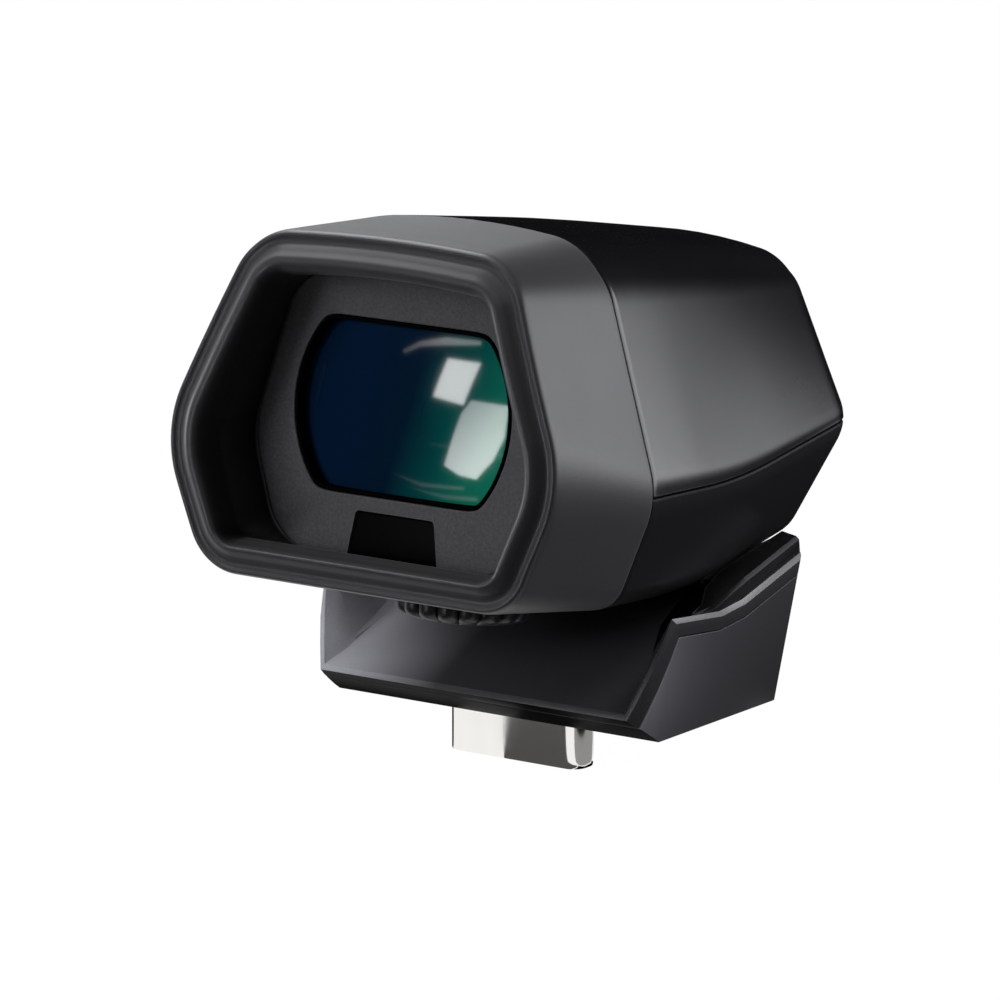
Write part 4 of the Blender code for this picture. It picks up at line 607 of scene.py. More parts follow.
metals = {
    "blackAlloy": ("black_alloy", (0.035, 0.035, 0.038), 0.38, {"metallic": 0.85}),
    "brightSteel": ("bright_steel", (0.56, 0.56, 0.57), 0.26, {}),
    "plugNickel": ("plug_nickel", (0.90, 0.885, 0.86), 0.12,
                   {"brushed": (300.0, 300.0, 30.0), "streak": 0.08, "stain": 0.12}),
    "contactGilt": ("gilt_contacts", (0.80, 0.58, 0.24), 0.22, {}),
    "pinionBrass": ("brass", (0.62, 0.46, 0.20), 0.30, {}),
}
others = {"boardGreen": ("circuit_board", {}), "coatedLens": ("coated_glass", {}),
          "innerGlass": ("inner_glass", (0.70, 0.82, 0.86), {})}
makers = dict.fromkeys(mouldings, moulded) | dict.fromkeys(metals, metal)
makers |= {"boardGreen": circuit, "coatedLens": coatedLens, "innerGlass": clearGlass}
looks, slotLooks = {}, {}
for name, (slot, *values, more) in (mouldings | metals | others).items():
    looks[name] = makers[name](name, *values, **more)
    slotLooks[slot] = name
slotOf = {row["node"]: row["material_slot"] for row in frame["record"]["subparts"]}
for name, slot in slotOf.items():
    nodes[name].data.materials.clear()
    nodes[name].data.materials.append(looks[slotLooks[slot]])
print("finishes made:", len(looks))

# rubber eyecup: band, crisp front edge, groove, rolled bead and the funnel's start, as (along, inset) pairs
eyecup = {
    "run": [(0.0210, 0.0004), (0.02092, 0.00012), (0.0207, 0.0), (0.0140, 0.0), (0.0070, 0.0), (0.0030, 0.0),
            (0.0019, 0.0), (0.00125, 0.00002), (0.00068, 0.00012), (0.00030, 0.00036),
            (0.00028, 0.00068), (0.00056, 0.00108), (0.00074, 0.00150), (0.00066, 0.00192),
            (0.00030, 0.00236), (-0.00018, 0.00284), (-0.00054, 0.00338), (-0.00060, 0.00396),
            (-0.00030, 0.00452), (0.00034, 0.00502), (0.00140, 0.00548), (0.00350, 0.00600)],
    "skirt": 0.0022, "foot": 0.0080, "stepsPerSpan": 5, "funnelRows": 12,
    "shade": {"start": 0.45, "from": 0.0042, "run": 0.0016, "until": 0.0079,
              "floor": 0.86, "floorFrom": 0.0044, "floorRun": 0.0010, "floorReach": 0.0040},
}


def buildEyecup():
    # rings of the head's section, each moved in by its inset, mixed towards the opening down the funnel
    run = smoothPath(eyecup["run"], eyecup["stepsPerSpan"])
    share = np.linspace(0, 1, eyecup["funnelRows"] + 1)[1:]
    funnelY = mix(run[-1, 0], eyecup["foot"], share)
    y = np.concatenate([run[:1, 0], run[:, 0], funnelY, [eyecup["foot"]]])
    inset = np.concatenate([[eyecup["skirt"]], run[:, 1], np.full(len(share), run[-1, 1]), [eyecup["skirt"]]])
    opening = np.concatenate([[0], np.zeros(len(run)), share, [0]])
    rings = toWorld(headRings(y, inset, opening))
    cup = makePiece("rubberEyecup", ringRun(rings), "eyecupRubber", "eyecup")
    # painted shade: the funnel darkens with depth, and its lower side is dark from the bead on
    shade = eyecup["shade"]
    rolled = shade["start"] * ease((inset - shade["from"]) / shade["run"])
    deep = np.where(opening > 0, mix(shade["start"], 1.0, opening), rolled) * (y < shade["until"])
    low = ease(1 - (rings[..., 2] - rings[..., 2].min(1, keepdims=True)) / shade["floorReach"])
    floor = shade["floor"] * ease((inset - shade["floorFrom"]) / shade["floorRun"]) * (y < shade["until"])
    return shadeBy(cup, np.maximum(deep[:, None], floor[:, None] * low).ravel())


buildEyecup()
print("eyecup made")

# housing halves: rounded far end, eased edges along the parting line
housing = {"wall": 0.0020, "front": 0.0216, "edge": 0.0042, "gap": 0.0003, "ease": 0.00022, "rows": 46,
           "edgeRows": 10, "capRows": 10, "capDome": 0.0003,
           "lip": [(0.0, 0.00035), (0.00007, 0.00012), (0.0003, 0.0)], "lipRun": 0.001,
           "farShade": 0.64, "farShadeFrom": -0.012, "farShadeRun": 0.016, "farShadeSide": 0.016, "farShadeEdge": 0.006}


def housingGrid(upper, inset):
    # half sections from the seam to the far end, then rows that close the end onto the parting line
    front = np.array(housing["lip"])
    y = np.concatenate([housing["front"] + front[:, 0],
                        np.linspace(housing["front"] + housing["lipRun"], headRun["tail"], housing["rows"])])
    more = np.concatenate([front[:, 1], np.zeros(housing["rows"])])
    radius = max(housing["edge"] - inset, headRun["leastRadius"])
    angle = np.linspace(0, np.pi / 2, housing["edgeRows"] + 1)[1:]
    y = np.concatenate([y, headRun["tail"] + radius * np.sin(angle)])
    more = np.concatenate([more, radius * (1 - np.cos(angle))])
    whole = sectionPoints(insetSizes(headSizes(y), inset + more))
    # points from the right waist over the roof to the left waist, both counted
    count = 3 * (headRun["arcSteps"] + headRun["sideSteps"]) + 1
    half = whole[:, :count] if upper else np.concatenate([whole[:, count - 1:], whole[:, :1]], 1)
    sign = 1.0 if upper else -1.0
    waist = headSizes(y)[:, 3] + sign * housing["gap"] / 2
    soft = housing["ease"] if inset == 0 else 0.0
    points = np.empty((half.shape[0], count + 2, 2))
    points[:, 1:-1] = half
    for edge, beside in ((0, 1), (-1, -2)):
        x = half[:, edge, 0]
        points[:, edge] = np.stack([x - np.sign(x) * soft, waist], -1)
        points[:, beside] = np.stack([x, waist + sign * soft], -1)
    grid = np.stack([points[..., 0], np.broadcast_to(y[:, None], points.shape[:2]), points[..., 1]], -1)
    share = np.linspace(0, 1, housing["capRows"] + 1)[1:, None]
    x, far, z = grid[-1].T
    dome = housing["capDome"] * (1 - (1 - share) ** 2) if inset == 0 else 0.0
    cap = np.stack(np.broadcast_arrays(x, far + dome, mix(z, z[:1], share)), -1)
    return toWorld(np.vstack([grid, cap]))


def buildHousing(name, upper, look, node):
    # a wall between the outer grid and the one set in by its thickness
    return makePiece(name, skin(housingGrid(upper, 0.0), housingGrid(upper, housing["wall"])), look, node)


def shadeUpperFarEnd(shell):
    # painted shade: colour and shine fall off towards the far end, by one less the exponential of the
    # distance
    x, y, _ = readVectors(shell.data.vertices, "co").T
    far = 1 - np.exp(-np.clip(y - housing["farShadeFrom"], 0, None) / housing["farShadeRun"])
    shadeBy(shell, housing["farShade"] * far * ease((np.abs(x) - housing["farShadeSide"]) / housing["farShadeEdge"]))


shadeUpperFarEnd(buildHousing("upperHousingShell", True, "upperHousingSatin", "upper_housing"))
lowerShell = buildHousing("lowerHousingShell", False, "lowerHousingBlack", "lower_housing")
print("housing halves made")

# window outline: a circle cut flat above and below, its corners rounded
window = {"radius": 0.0176, "halfHeight": 0.01185, "softness": 30.0, "level": 0.0238, "steps": 288}
windowAngles = np.linspace(0, 2 * np.pi, window["steps"], endpoint=False)


def windowLine(inset):
    # one over r is the p-norm of one over the circle's and one over the flats' distance
    p = window["softness"]
    sine = np.abs(np.sin(windowAngles))
    r = ((window["radius"] - inset) ** -p + (sine / (window["halfHeight"] - inset)) ** p) ** (-1 / p)
    return np.stack([r * np.cos(windowAngles), window["level"] + r * np.sin(windowAngles)], -1)


def slabRings(run):
    # rings in world axes from (y, outline) pairs, each outline holding x and z in head axes
    return toWorld(np.stack([np.insert(line, 1, y, axis=1) for y, line in run]))


plate = {"front": 0.0083, "thickness": 0.0022, "edgeInset": 0.0025, "round": 0.00022, "roundSteps": 5,
         "sensorRoofHalf": 0.00635, "sensorFloorHalf": 0.00765, "sensorRoof": 0.0100, "sensorFloor": 0.0020,
         "sensorCorner": 0.0007, "cornerSteps": 6, "cutPast": 0.001, "smooth": 30,
         "shade": 0.92, "shadeFrom": 0.0171, "shadeRun": 0.00665}


def polarLine(points, angles):
    # distance from the optical axis of a closed line, read off at the given angles
    dx, dz = points[:, 0], points[:, 1] - window["level"]
    around = np.mod(np.arctan2(dz, dx), 2 * np.pi)
    order = np.argsort(around)
    reach = np.interp(angles, around[order], np.hypot(dx, dz)[order], period=2 * np.pi)
    return np.stack([reach * np.cos(angles), window["level"] + reach * np.sin(angles)], -1)


def trapezoid(gap):
    # the sensor window's outline, drawn in by the gap, corners rounded by arcs
    roof, floor = plate["sensorRoofHalf"] - gap, plate["sensorFloorHalf"] - gap
    top, low = plate["sensorRoof"] - gap, plate["sensorFloor"] + gap
    corners = np.array([[(roof, top), (-roof, top), (-floor, low), (floor, low)]])
    return roundCorners(corners, plate["sensorCorner"], plate["cornerSteps"]).reshape(-1, 2)


def cutBy(thing, grid):
    # exact Boolean difference with a capped run of rings, applied, so the mesh itself carries the opening
    verts, faces = capped(grid)
    mesh = newMesh("cutter", verts, faceList(faces))
    work = bmesh.new()
    work.from_mesh(mesh)
    bmesh.ops.recalc_face_normals(work, faces=work.faces)
    work.to_mesh(mesh)
    work.free()
    cutter = addObject("cutter", mesh)
    modifier = thing.modifiers.new("cut", "BOOLEAN")
    modifier.object, modifier.operation, modifier.solver = cutter, "DIFFERENCE", "EXACT"
    applyModifiers(thing)
    bpy.data.objects.remove(cutter)


def buildPlate():
    # slab between the window's rounded edge and the funnel's outline, with the sensor's opening cut out
    near, far, soft = plate["front"], plate["front"] + plate["thickness"], plate["round"]
    outer = polarLine(headRings([near], plate["edgeInset"])[0][:, [0, 2]], windowAngles)
    curve = np.linspace(0, np.pi / 2, plate["roundSteps"])
    run = [(near, outer)]
    run += [(near + soft * (1 - math.cos(a)), windowLine(-soft * (1 - math.sin(a)))) for a in curve]
    run += [(far, windowLine(0.0)), (far, outer)]
    piece = makePiece("eyepiecePlateFace", ringRun(slabRings(run)), "plateGrain", "eyepiece_plate")
    cutBy(piece, slabRings([(y, trapezoid(0.0)) for y in (near - plate["cutPast"], far + plate["cutPast"])]))
    finishMesh(piece, "plateGrain", plate["smooth"])
    # painted shade: its left end is darkened as the funnel's shade falls on it
    x = readVectors(piece.data.vertices, "co")[:, 0]
    return shadeBy(piece, plate["shade"] * ease((-x - plate["shadeFrom"]) / plate["shadeRun"]))


buildPlate()

lining = {"front": 0.00825, "rear": 0.0124, "outer": 0.00008, "inner": 0.00062, "steps": 9}


def buildLining():
    # black sleeve in the window, with a rolled front edge, down to the lens
    middle, radius = (lining["outer"] + lining["inner"]) / 2, (lining["inner"] - lining["outer"]) / 2
    curve = np.linspace(0, np.pi, lining["steps"])
    run = [(lining["front"] + radius * (1 - math.sin(a)), middle - radius * math.cos(a)) for a in curve]
    run += [(lining["rear"], lining["inner"]), (lining["rear"], lining["outer"])]
    rings = slabRings([(y, windowLine(inset)) for y, inset in run])
    return makePiece("windowLining", ringRun(rings), "liningBlack")


buildLining()

lens = {"edge": 0.0102, "rear": 0.0124, "sag": 0.0019, "inset": 0.00068, "rows": 26}


def lensFront(x, z):
    # convex face: it stands out by the sag, less the square of the distance from the axis
    return lens["edge"] - lens["sag"] * (1 - (x ** 2 + (z - window["level"]) ** 2) / window["radius"] ** 2)


def buildLens():
    # the outline drawn in towards the axis over the convex face, and a flat back
    line, centre = windowLine(lens["inset"]), np.array([0.0, window["level"]])
    shares = np.cos(np.linspace(0, np.pi / 2, lens["rows"], endpoint=False))
    rows = [centre + (line - centre) * share for share in shares]
    face = [np.insert(row, 1, lensFront(*row.T), axis=1) for row in rows]
    grid = toWorld(np.stack([np.insert(line, 1, lens["rear"], axis=1), *face]))
    return makePiece("coatedFrontLens", capped(grid), "coatedLens", "front_lens")


buildLens()

# the sensor's panel lies behind the plate's face, in its opening: (depth, gap) pairs
panel = {"behind": 0.00035, "gap": 0.00015, "smooth": 5,
         "run": [(0.0, 0.00015), (0.000045, 0.000045), (0.00015, 0.0), (0.0016, 0.0)]}


def buildSensorPanel():
    # rings of the trapezoid, the first ones drawn in to round the edge
    near = plate["front"] + panel["behind"]
    rings = slabRings([(near + depth, trapezoid(panel["gap"] + gap)) for depth, gap in panel["run"]])
    return makePiece("sensorPanel", capped(rings), "smokedPanel", "sensor_window", panel["smooth"])


buildSensorPanel()
print("window, lens and sensor panel made")

# dial: (radius, share of the lobes' depth, height) down its profile, curved but for its inner wall
dial = {
    "y": 0.0260, "lobes": 18, "lobeDepth": 0.0011, "perLobe": 24, "between": 3, "curved": 13, "smooth": 50,
    "run": [(0.0014, 0.0, -0.0010), (0.0070, 0.0, -0.0010), (0.0090, 1.0, -0.0010), (0.0094, 1.0, -0.0013),
            (0.0094, 1.0, -0.0024), (0.0094, 1.0, -0.0036), (0.0091, 1.0, -0.0042), (0.0086, 1.0, -0.0045),
            (0.0080, 1.0, -0.0047), (0.0073, 0.5, -0.0049), (0.0066, 0.0, -0.0050), (0.0055, 0.0, -0.0050),
            (0.0052, 0.0, -0.0047), (0.0051, 0.0, -0.0038), (0.0047, 0.0, -0.0036), (0.0014, 0.0, -0.0036)],
}


def buildDial():
    # rings about the dial axis; the valley between two lobes is one less the root of a sine
    angle = np.linspace(0, 2 * np.pi, dial["lobes"] * dial["perLobe"], endpoint=False)
    valley = 1 - np.sqrt(np.abs(np.sin(angle * dial["lobes"] / 2)))
    run = np.array(dial["run"])
    curved = smoothPath(run[1:dial["curved"]], dial["between"])
    radius, lobed, z = np.vstack([run[:1], curved, run[dial["curved"]:]]).T[..., None]
    r = radius - dial["lobeDepth"] * lobed * valley
    grid = np.stack([r * np.cos(angle), dial["y"] + r * np.sin(angle), np.broadcast_to(z, r.shape)], -1)
    return makePiece("dioptreDialWheel", ringRun(toWorld(grid)), "dialBlack", "dioptre_dial", dial["smooth"])


buildDial()

# plug shell: (inset, height) from the outer wall over the rounded rim to the inner wall
plug = {"y": -0.0067, "halfWidth": 0.0110, "halfDepth": 0.0026, "corner": 0.0022, "cornerSteps": 12,
        "smooth": 50,
        "run": [(0.0, 0.0020), (0.0, -0.0020), (0.0, -0.0060), (0.0, -0.00682), (0.00008, -0.00702),
                (0.00025, -0.0071), (0.00042, -0.00702), (0.0005, -0.00682), (0.0005, -0.0020),
                (0.0005, 0.0020)]}


def oblong(inset):
    # rounded oblong about the plug's axis, drawn in by the inset
    width, depth = plug["halfWidth"] - inset, plug["halfDepth"] - inset
    radius = max(plug["corner"] - inset, headRun["leastRadius"])
    angle = np.linspace(0, np.pi / 2, plug["cornerSteps"] + 1)[None] + np.arange(4)[:, None] * np.pi / 2
    sx, sy = np.array([1, -1, -1, 1])[:, None], np.array([1, 1, -1, -1])[:, None]
    x = sx * (width - radius) + radius * np.cos(angle)
    y = plug["y"] + sy * (depth - radius) + radius * np.sin(angle)
    return np.stack([x.reshape(-1), y.reshape(-1)], -1)


def buildPlug():
    # the oblong carried up and down its profile
    rings = np.stack([np.insert(oblong(inset), 2, z, axis=1) for inset, z in plug["run"]])
    return makePiece("plugShellNickel", ringRun(rings), "plugNickel", "plug_shell", plug["smooth"])


buildPlug()

rib = {"x": 0.02195, "half": 0.00045, "start": 0.0505, "end": 0.0690, "drop": 0.0020, "root": 0.0012,
       "fade": 0.0070, "rows": 24, "startGain": 5, "steps": 13}


def buildRib(side):
    # rounded runner under the housing that keeps the hinge bay closed; its ends fade into the floor
    share = np.linspace(0, 1, rib["rows"])
    y = mix(rib["start"], rib["end"], share)
    floor = headSizes(y)[:, 5]
    drop = rib["drop"] * ease(share * rib["startGain"]) * ease((rib["end"] - y) / rib["fade"])
    turn = np.linspace(np.pi, 2 * np.pi, rib["steps"])
    x = side * rib["x"] + rib["half"] * np.concatenate([np.cos(turn), [1, -1]])
    low = (floor - drop + rib["half"])[:, None] + rib["half"] * np.sin(turn)[None]
    z = np.concatenate([low, np.repeat((floor + rib["root"])[:, None], 2, 1)], 1)
    grid = np.stack([np.broadcast_to(x, z.shape), np.broadcast_to(y[:, None], z.shape), z], -1)
    name = "hingeRibRight" if side > 0 else "hingeRibLeft"
    return makePiece(name, capped(toWorld(grid)), "lowerHousingBlack")


for side in (-1.0, 1.0):
    buildRib(side)

# openings in the lower shell, all from this low up: the hinge arm's slot (half width, y, half depth, top),
# the dial's hole (radius, x, y) and the screws' pockets and holes
openings = {"low": -0.0100, "steps": 28, "armSlot": (0.0145, 0.0607, 0.0017, 0.0075),
            "dialHole": (0.0023, 0.0, 0.0260), "deep": 0.0040, "pocket": 0.0020, "pocketDepth": 0.0012,
            "shank": 0.0011, "screws": ((0.0193, 0.0290), (0.0193, 0.0420), (0.0080, 0.0640))}


def openUp(outline, high):
    # prism through the lower shell's floor, from an outline in x and y of the head
    cutBy(lowerShell, toWorld(np.stack([np.insert(outline, 2, z, axis=1) for z in (openings["low"], high)])))


def circle(radius, x, y):
    angle = np.linspace(0, 2 * np.pi, openings["steps"], endpoint=False)
    return np.stack([x + radius * np.cos(angle), y + radius * np.sin(angle)], -1)


def openFloor():
    halfWidth, y, halfDepth, high = openings["armSlot"]
    openUp(np.array([(1, -1), (1, 1), (-1, 1), (-1, -1)]) * (halfWidth, halfDepth) + (0.0, y), high)
    openUp(circle(*openings["dialHole"]), openings["deep"])
    for side in (-1.0, 1.0):
        for x, y in openings["screws"]:
            level = float(headSizes([y])[0, 5])
            openUp(circle(openings["pocket"], side * x, y), level + openings["pocketDepth"])
            openUp(circle(openings["shank"], side * x, y), level + openings["deep"])
    finishMesh(lowerShell, "lowerHousingBlack", smoothAngle)


openFloor()
print("dial, plug, ribs and openings made")


# the other pieces: welded copies of their solids with eased edges
easing = {"weld": 0.000004, "flat": 1.5, "sharp": 28, "segments": 4, "smooth": 40, "narrow": 0.45,
          "flank": 0.95, "ridge": (0.4, 0.9)}


def eased(node, width, look, wide=False):
    # one welded copy whose sharp edges are rounded; where the width is wide for the piece, only the edges
    # between a flank and a ridge take it in full
    thing = addObject(node + "Eased", nodes[node].data.copy())
    work = bmesh.new()
    work.from_mesh(thing.data)
    bmesh.ops.transform(work, matrix=nodes[node].matrix_world, verts=work.verts)
    bmesh.ops.remove_doubles(work, verts=work.verts, dist=easing["weld"])
    bmesh.ops.dissolve_limit(work, angle_limit=math.radians(easing["flat"]), verts=work.verts,
                             edges=work.edges)
    bmesh.ops.recalc_face_normals(work, faces=work.faces)
    weight = work.edges.layers.float.new("bevel_weight_edge")
    low, high = easing["ridge"]
    for edge in work.edges:
        if len(edge.link_faces) != 2 or edge.calc_face_angle(0.0) < math.radians(easing["sharp"]):
            continue
        sides = sorted(abs(face.normal.x) for face in edge.link_faces)
        full = not wide or (sides[1] > easing["flank"] and low < sides[0] < high)
        edge[weight] = 1.0 if full else easing["narrow"]
    work.to_mesh(thing.data)
    work.free()
    modifier = thing.modifiers.new("ease", "BEVEL")
    modifier.width, modifier.segments, modifier.limit_method = width, easing["segments"], "WEIGHT"
    modifier.use_clamp_overlap = True
    applyModifiers(thing)
    return finishPiece(thing, look, node, easing["smooth"])


easedWidths = {"cradle": 0.00042, "tray": 0.00022, "mounting_screw": 0.00012, "tilt_shaft": 0.0001,
               "plug_insulator": 0.00008, "plug_contacts": 0.00003, "plug_board": 0.00005,
               "hinge_arm": 0.00015, "screw_clip": 0.00008, "display_holder": 0.0001,
               "optics_chassis": 0.0001, "sensor_board": 0.00005, "driver_board": 0.00005,
               "lens_holder": 0.0001, "front_frame": 0.0001}
easedWidths.update((name, 0.00006) for name in nodes if "screw_" in name and name[-1].isdigit())
for name, width in easedWidths.items():
    look = "cradleSatin" if name == "cradle" else slotLooks[slotOf[name]]
    eased(name, width, look, wide=name == "cradle")

# painted shade on the foot's faces: the depth of shade, and limits on the middle (x, y, z, aside for
# either side) and on the normal (across, up); a later row wins over an earlier one
footShades = {
    "earSides": (0.90, {"y": (-0.0045, 1), "z": (0.0158, 1), "aside": (0.0255, 0.0289), "up": (-0.1, 2)}),
    "rim": (0.35, {"aside": (0.0275, 1), "across": (0.70, 0.90), "up": (0.3, 2)}),
    "ledge": (0.92, {"x": (0, 1), "y": (-0.0045, 1), "z": (0.0120, 1), "aside": (-1, 0.0276),
                     "up": (0.6, 2)}),
    "besideHinge": (0.92, {"y": (0.0008, 1), "z": (0.0120, 1), "aside": (-1, 0.0276)}),
    "noseUnderside": (0.97, {"y": (-1, -0.0118), "up": (-2, -0.3)}),
}


def shadeFoot(thing, names):
    # painted shade: each face takes the depth of the last row whose limits its middle and normal keep
    (x, y, z), (facingX, _, up) = (readVectors(thing.data.polygons, field).T
                                   for field in ("center", "normal"))
    known = {"x": x, "y": y, "z": z, "aside": np.abs(x), "across": np.abs(facingX), "up": up}
    shade = np.zeros(len(x))
    for depth, limits in (footShades[name] for name in names):
        inside = [(low < known[key]) & (known[key] < high) for key, (low, high) in limits.items()]
        shade[np.all(inside, 0)] = depth
    return shadeBy(thing, shade, "FACE")


shadeFoot(bpy.data.objects["cradleEased"], footShades)
shadeFoot(bpy.data.objects["trayEased"], ["noseUnderside"])
print("eased copies made:", len(easedWidths))

# camera, floor and light
view = {"azimuth": 35.0, "elevation": 12.4, "distance": 0.9459, "target": (0.0, -0.01202, 0.02975),
        "lens": 252.0, "sensor": 36.0, "near": 0.01, "far": 20.0}


def aimed(thing, target, direction, distance):
    # thing stands at the distance in that direction from the target and looks at it
    thing.location = Vector(target) + direction * distance
    thing.rotation_euler = direction.to_track_quat("Z", "Y").to_euler()
    return thing


def placeCamera():
    # at this bearing and this angle above the level, looking at the target as the photograph does
    a, e = math.radians(view["azimuth"]), math.radians(view["elevation"])
    back = Vector((math.sin(a) * math.cos(e), -math.cos(a) * math.cos(e), math.sin(e)))
    camera = bpy.data.cameras.new("photoCamera")
    camera.lens, camera.sensor_width = view["lens"], view["sensor"]
    camera.clip_start, camera.clip_end = view["near"], view["far"]
    holder = aimed(addObject("photoCamera", camera), view["target"], back, view["distance"])
    bpy.context.scene.camera = holder
    return np.array(holder.location)


eye = placeCamera()


def seenRays(tree):
    path = tree.nodes.new("ShaderNodeLightPath").outputs
    seen = mathNode(tree, "MAXIMUM", path["Is Camera Ray"], path["Is Glossy Ray"])
    return mathNode(tree, "MAXIMUM", seen, path["Is Transmission Ray"])


def blended(tree, factor, plain, seen, kind):
    # the plain shader, and the other one for the rays that the factor picks out
    blend, output = tree.nodes.new("ShaderNodeMixShader"), tree.nodes.new("ShaderNodeOutput" + kind)
    for k, source in enumerate((factor, plain.outputs[0], seen.outputs[0])):
        wire(tree, source, blend.inputs[k])
    wire(tree, blend.outputs[0], output.inputs["Surface"])


def stageMaterial(name, colour, share, glow, fade=None):
    # diffuse sheet that shows as plain light to the rays that see it directly
    material = bpy.data.materials.new(name)
    material.use_nodes = True
    material.cycles.emission_sampling = "NONE"
    tree = material.node_tree
    tree.nodes.clear()
    times, plus, minus = sums(tree)
    diffuse = tree.nodes.new("ShaderNodeBsdfDiffuse")
    diffuse.inputs["Color"].default_value = (colour,) * 3 + (1.0,)
    light = tree.nodes.new("ShaderNodeEmission")
    light.inputs["Strength"].default_value = glow
    if fade:
        # brightness runs from its first share at one point to the whole at the other
        start, end, first = Vector(fade[0]), Vector(fade[1]), fade[2]
        way = (end - start) / (end - start).length_squared
        place = tree.nodes.new("ShaderNodeVectorMath")
        place.operation = "DOT_PRODUCT"
        wire(tree, tree.nodes.new("ShaderNodeTexCoord").outputs["Object"], place.inputs[0])
        place.inputs[1].default_value = way
        along = minus(place.outputs["Value"], start.dot(way), clamp=True)
        wire(tree, plus(times(along, glow * (1 - first)), glow * first), light.inputs["Strength"])
    blended(tree, times(seenRays(tree), share), diffuse, light, "Material")
    return material


def stageSheet(name, verts, faces, material, reflectedOnly=True):
    sheet = addObject(name, newMesh(name, verts, [list(face) for face in faces]))
    sheet.data.materials.append(material)
    if reflectedOnly:
        sheet.visible_camera = sheet.visible_shadow = False
        sheet.visible_diffuse = sheet.visible_transmission = False


floorSet = {"level": -0.00715, "reach": 3.0, "colour": 0.30, "whiteShare": 0.92, "glow": 1.08,
            "cardLift": 0.0001}
reach, level = floorSet["reach"], floorSet["level"]
white = stageMaterial("studioWhite", floorSet["colour"], floorSet["whiteShare"], floorSet["glow"])
stageSheet("studioFloor", [(x * reach, y * reach, level) for x, y in ((-1, -1), (1, -1), (1, 1), (-1, 1))],
           [range(4)], white, reflectedOnly=False)

# cards that only reflections see: curved ones round the object, as (first and last bearing, radius, lowest
# and highest edge, look), then flat ones
blackCard, umberCard, greyCard = (stageMaterial(name, 0.0, 1.0, glow) for name, glow in
                                  (("blackCard", 0.0), ("umberCard", 0.08), ("greyCard", 0.30)))
cards = {"backCard": ((24.0, 165.0), 0.80, (-0.006, 1.60), blackCard),
         "frontCard": ((186.0, 318.0), 0.66, (-0.006, 0.55), blackCard),
         "sideCard": ((-43.0, 26.0), 0.83, (-0.006, 1.10), umberCard)}
cardSteps = 40
for name, (bearings, radius, heights, look) in cards.items():
    angle = np.radians(np.linspace(*bearings, cardSteps))
    bend = radius * np.stack([np.cos(angle), np.sin(angle)], -1)
    rows = [np.insert(bend, 2, z, axis=1) for z in heights]
    stageSheet(name, rows, gridQuads(2, cardSteps).tolist(), look)
floorCards = {"backFloor": (blackCard, (-0.6, 0.030), (0.7, 0.75)),
              "rightFloor": (blackCard, (0.0285, -0.035), (0.5, 0.030)),
              "frontFloor": (blackCard, (-0.6, -0.60), (0.45, -0.048)),
              # the two black sheets under the nose and the base stand in for the object's shadow on the
              # floor, seen in reflections only
              "underNose": (blackCard, (-0.06, -0.0088), (0.0115, -0.0035)),
              "underBase": (blackCard, (-0.06, -0.0035), (0.009, 0.030)),
              "plugShade": (umberCard, (-0.0011, -0.0090), (0.0115, -0.0090), (-0.0070, -0.0413),
                            (-0.0235, -0.0413)),
              "plugSide": (greyCard, (0.0118, -0.0088), (0.0285, -0.0340), (0.0285, 0.0230),
                           (0.0118, 0.0230))}
for name, (look, *corners) in floorCards.items():
    if len(corners) == 2:
        # a rectangle from its nearest to its farthest corner
        (left, near), (right, far) = corners
        corners = (left, near), (right, near), (right, far), (left, far)
    stageSheet(name, [(x, y, level + floorSet["cardLift"]) for x, y in corners], [range(4)], look)

# a sleeve inside the lip's left half, so that the lens doesn't mirror the lip's lit edge
sleeve = {"y": (0.0060, 0.0020, -0.0004), "inset": 0.0061, "from": 36, "to": 104}
sleeveRings = toWorld(headRings(sleeve["y"], sleeve["inset"]))[:, sleeve["from"]:sleeve["to"]]
stageSheet("lipSleeve", sleeveRings, gridQuads(*sleeveRings.shape[:2]).tolist(), blackCard)


def glassMirror(x, z, distance):
    # where a ray from the eye to this spot of the lens goes after the reflection: r - 2 (r . n) n
    spot = toWorld(np.array([x, lensFront(x, z), z]))
    rise = 2 * lens["sag"] / window["radius"] ** 2
    normal = tipped(np.array([rise * x, -1.0, rise * (z - window["level"])]))
    normal /= np.linalg.norm(normal)
    ray = (spot - eye) / np.linalg.norm(spot - eye)
    return spot + distance * (ray - 2 * ray.dot(normal) * normal)


# corners of each softbox as they show on the lens, in millimetres, how bright and far it is, and the
# share of that brightness left at the first corner, which grows towards the corner named last
softboxes = {
    "upperSoftbox": (((5.36, 31.26), (10.32, 31.13), (8.36, 25.37), (3.71, 26.04)), 7.5, 0.50, 1.0, 2),
    "lowerSoftbox": (((8.16, 24.29), (9.47, 26.16), (14.96, 25.96), (14.59, 21.69), (13.19, 18.62),
                      (10.80, 15.81), (8.28, 16.06), (5.99, 17.12)), 8.0, 0.10, 0.45, 4),
    "violetStrip": (((-1.87, 31.51), (0.82, 33.0), (4.6, 33.95), (9.88, 33.98), (9.96, 33.47),
                     (4.78, 32.91), (0.93, 32.36), (-1.48, 31.16)), 2.4, 0.52, 0.3, 2),
    "lowStrip": (((-2.5, 15.3), (2.4, 14.4), (9.0, 14.6), (9.0, 14.2), (2.4, 13.9)), 0.9, 0.10, 0.2, 2),
    "lowestStrip": (((0.0, 13.7), (6.0, 13.2), (11.0, 13.4), (11.0, 12.9), (6.0, 12.7)), 0.9, 0.10, 0.2, 2),
}
softboxShift = (1.05, 0.40)
for name, (corners, bright, distance, first, last) in softboxes.items():
    spots = [glassMirror((x + softboxShift[0]) / 1000, (z + softboxShift[1]) / 1000, distance)
             for x, z in corners]
    stageSheet(name, spots, [range(len(corners))],
               stageMaterial(name, 0.0, 1.0, bright, (spots[0], spots[last], first)))


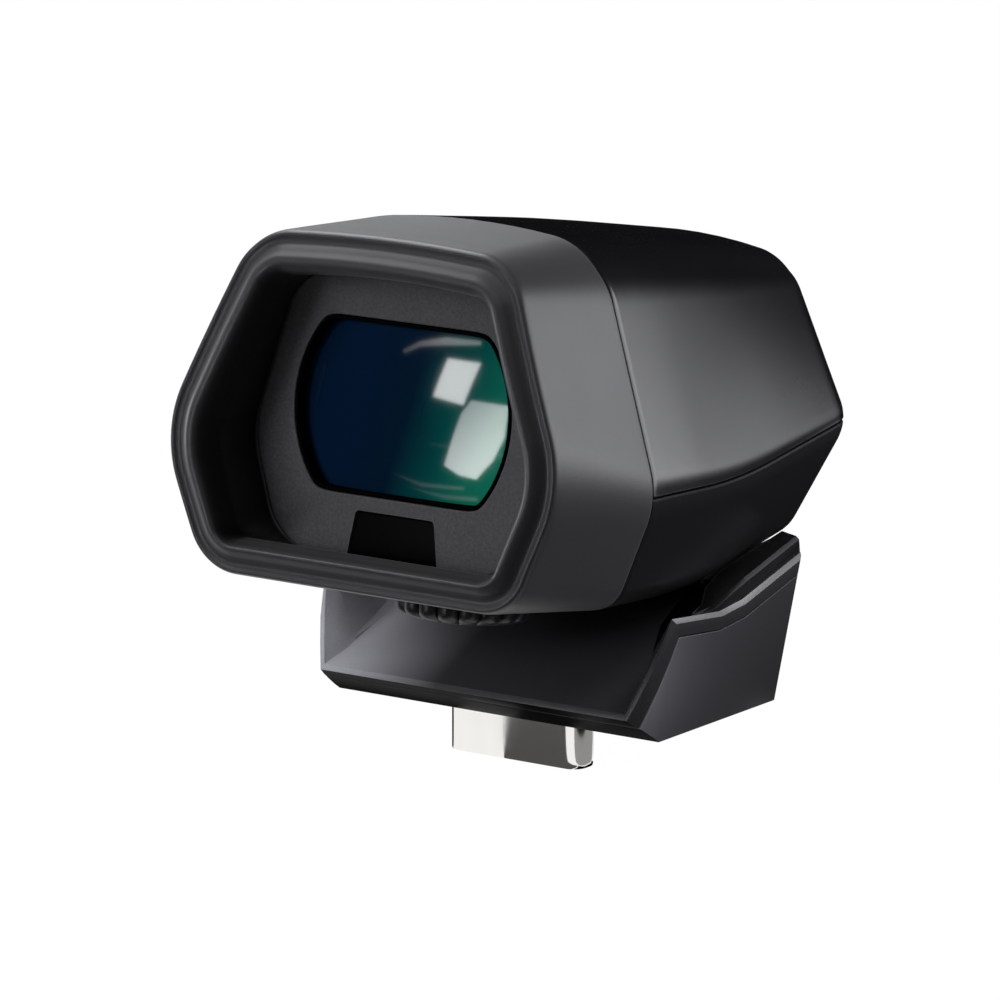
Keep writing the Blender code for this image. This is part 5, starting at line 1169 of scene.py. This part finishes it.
def lightWorld(strength):
    # soft light of this strength, and plain white for the rays that see the world directly
    world = bpy.data.worlds.new("studioWorld")
    bpy.context.scene.world = world
    world.use_nodes = True
    tree = world.node_tree
    tree.nodes.clear()
    soft, white = tree.nodes.new("ShaderNodeBackground"), tree.nodes.new("ShaderNodeBackground")
    soft.inputs["Strength"].default_value = strength
    blended(tree, seenRays(tree), soft, white, "World")


lightWorld(strength=0.16)

cup, foot, tray = "rubberEyecup", "cradleEased", "trayEased"
# where each lamp stands from its aim, its size, its radiance, and what sets it apart from a plain one
panels = {
    "rightPanel": ((0.806, 0.584, 0.112), (0.174, 0.11), 4.5,
                   {"distance": 0.147, "aim": (0.0276, -0.0022, 0.074)}),
    "bandPanel": ((-0.56, 0.80, 0.28), (0.30, 0.09), 1.5, {"only": cup}),
    "lipPanel": ((-0.95, -0.25, -0.02), (0.20, 0.10), 6.0, {"distance": 0.40, "only": cup}),
    "leftPanel": ((-0.96, -0.16, 0.18), (0.30, 0.30), 4.0, {"mirrored": False}),
    "topPanel": ((-0.56, -0.19, 0.78), (0.25, 0.20), 4.5, {}),
    "plateLight": ((-0.55, -0.78, 0.30), (0.26, 0.26), 9.5, {"mirrored": False}),
    "rimPanel": ((0.42, 0.58, 0.70), (0.20, 0.20), 26.0, {"only": foot}),
    "edgePanel": ((-0.57, 0.40, 0.72), (0.22, 0.18), 10.0, {"only": cup}),
    "flankLight": ((0.72, -0.66, 0.12), (0.01, 0.01), 32.0,
                   {"distance": 0.020, "mirrored": False, "aim": (0.0265, -0.014, 0.008), "only": tray}),
    "nearTrough": ((-0.10, -0.96, 0.25), (0.01, 0.01), 4.0,
                   {"distance": 0.020, "mirrored": False, "aim": (-0.0190, -0.0120, 0.0100), "only": foot}),
    "troughLight": ((0.40, -0.86, 0.31), (0.20, 0.08), 21.0, {"mirrored": False, "only": foot}),
}
lampColour = (0.955, 0.968, 1.0)


def placePanel(name, towards, size, radiance, distance=0.60, mirrored=True, only=None,
               aim=(0.0, -0.012, 0.040)):
    # rectangular lamp; its power is pi times the radiance times the area
    lamp = bpy.data.lights.new(name, "AREA")
    lamp.shape, lamp.size, lamp.size_y = "RECTANGLE", *size
    lamp.energy = radiance * math.pi * size[0] * size[1]
    lamp.color = lampColour
    holder = aimed(addObject(name, lamp), aim, Vector(towards).normalized(), distance)
    holder.visible_camera, holder.visible_glossy = False, mirrored
    if only:
        # it lights this piece alone
        lit = bpy.data.collections.new(name)
        lit.objects.link(bpy.data.objects[only])
        holder.light_linking.receiver_collection = lit


for name, (*place, more) in panels.items():
    placePanel(name, *place, **more)

bpy.context.scene.view_settings.view_transform = "Standard"
print("camera, floor and light placed")
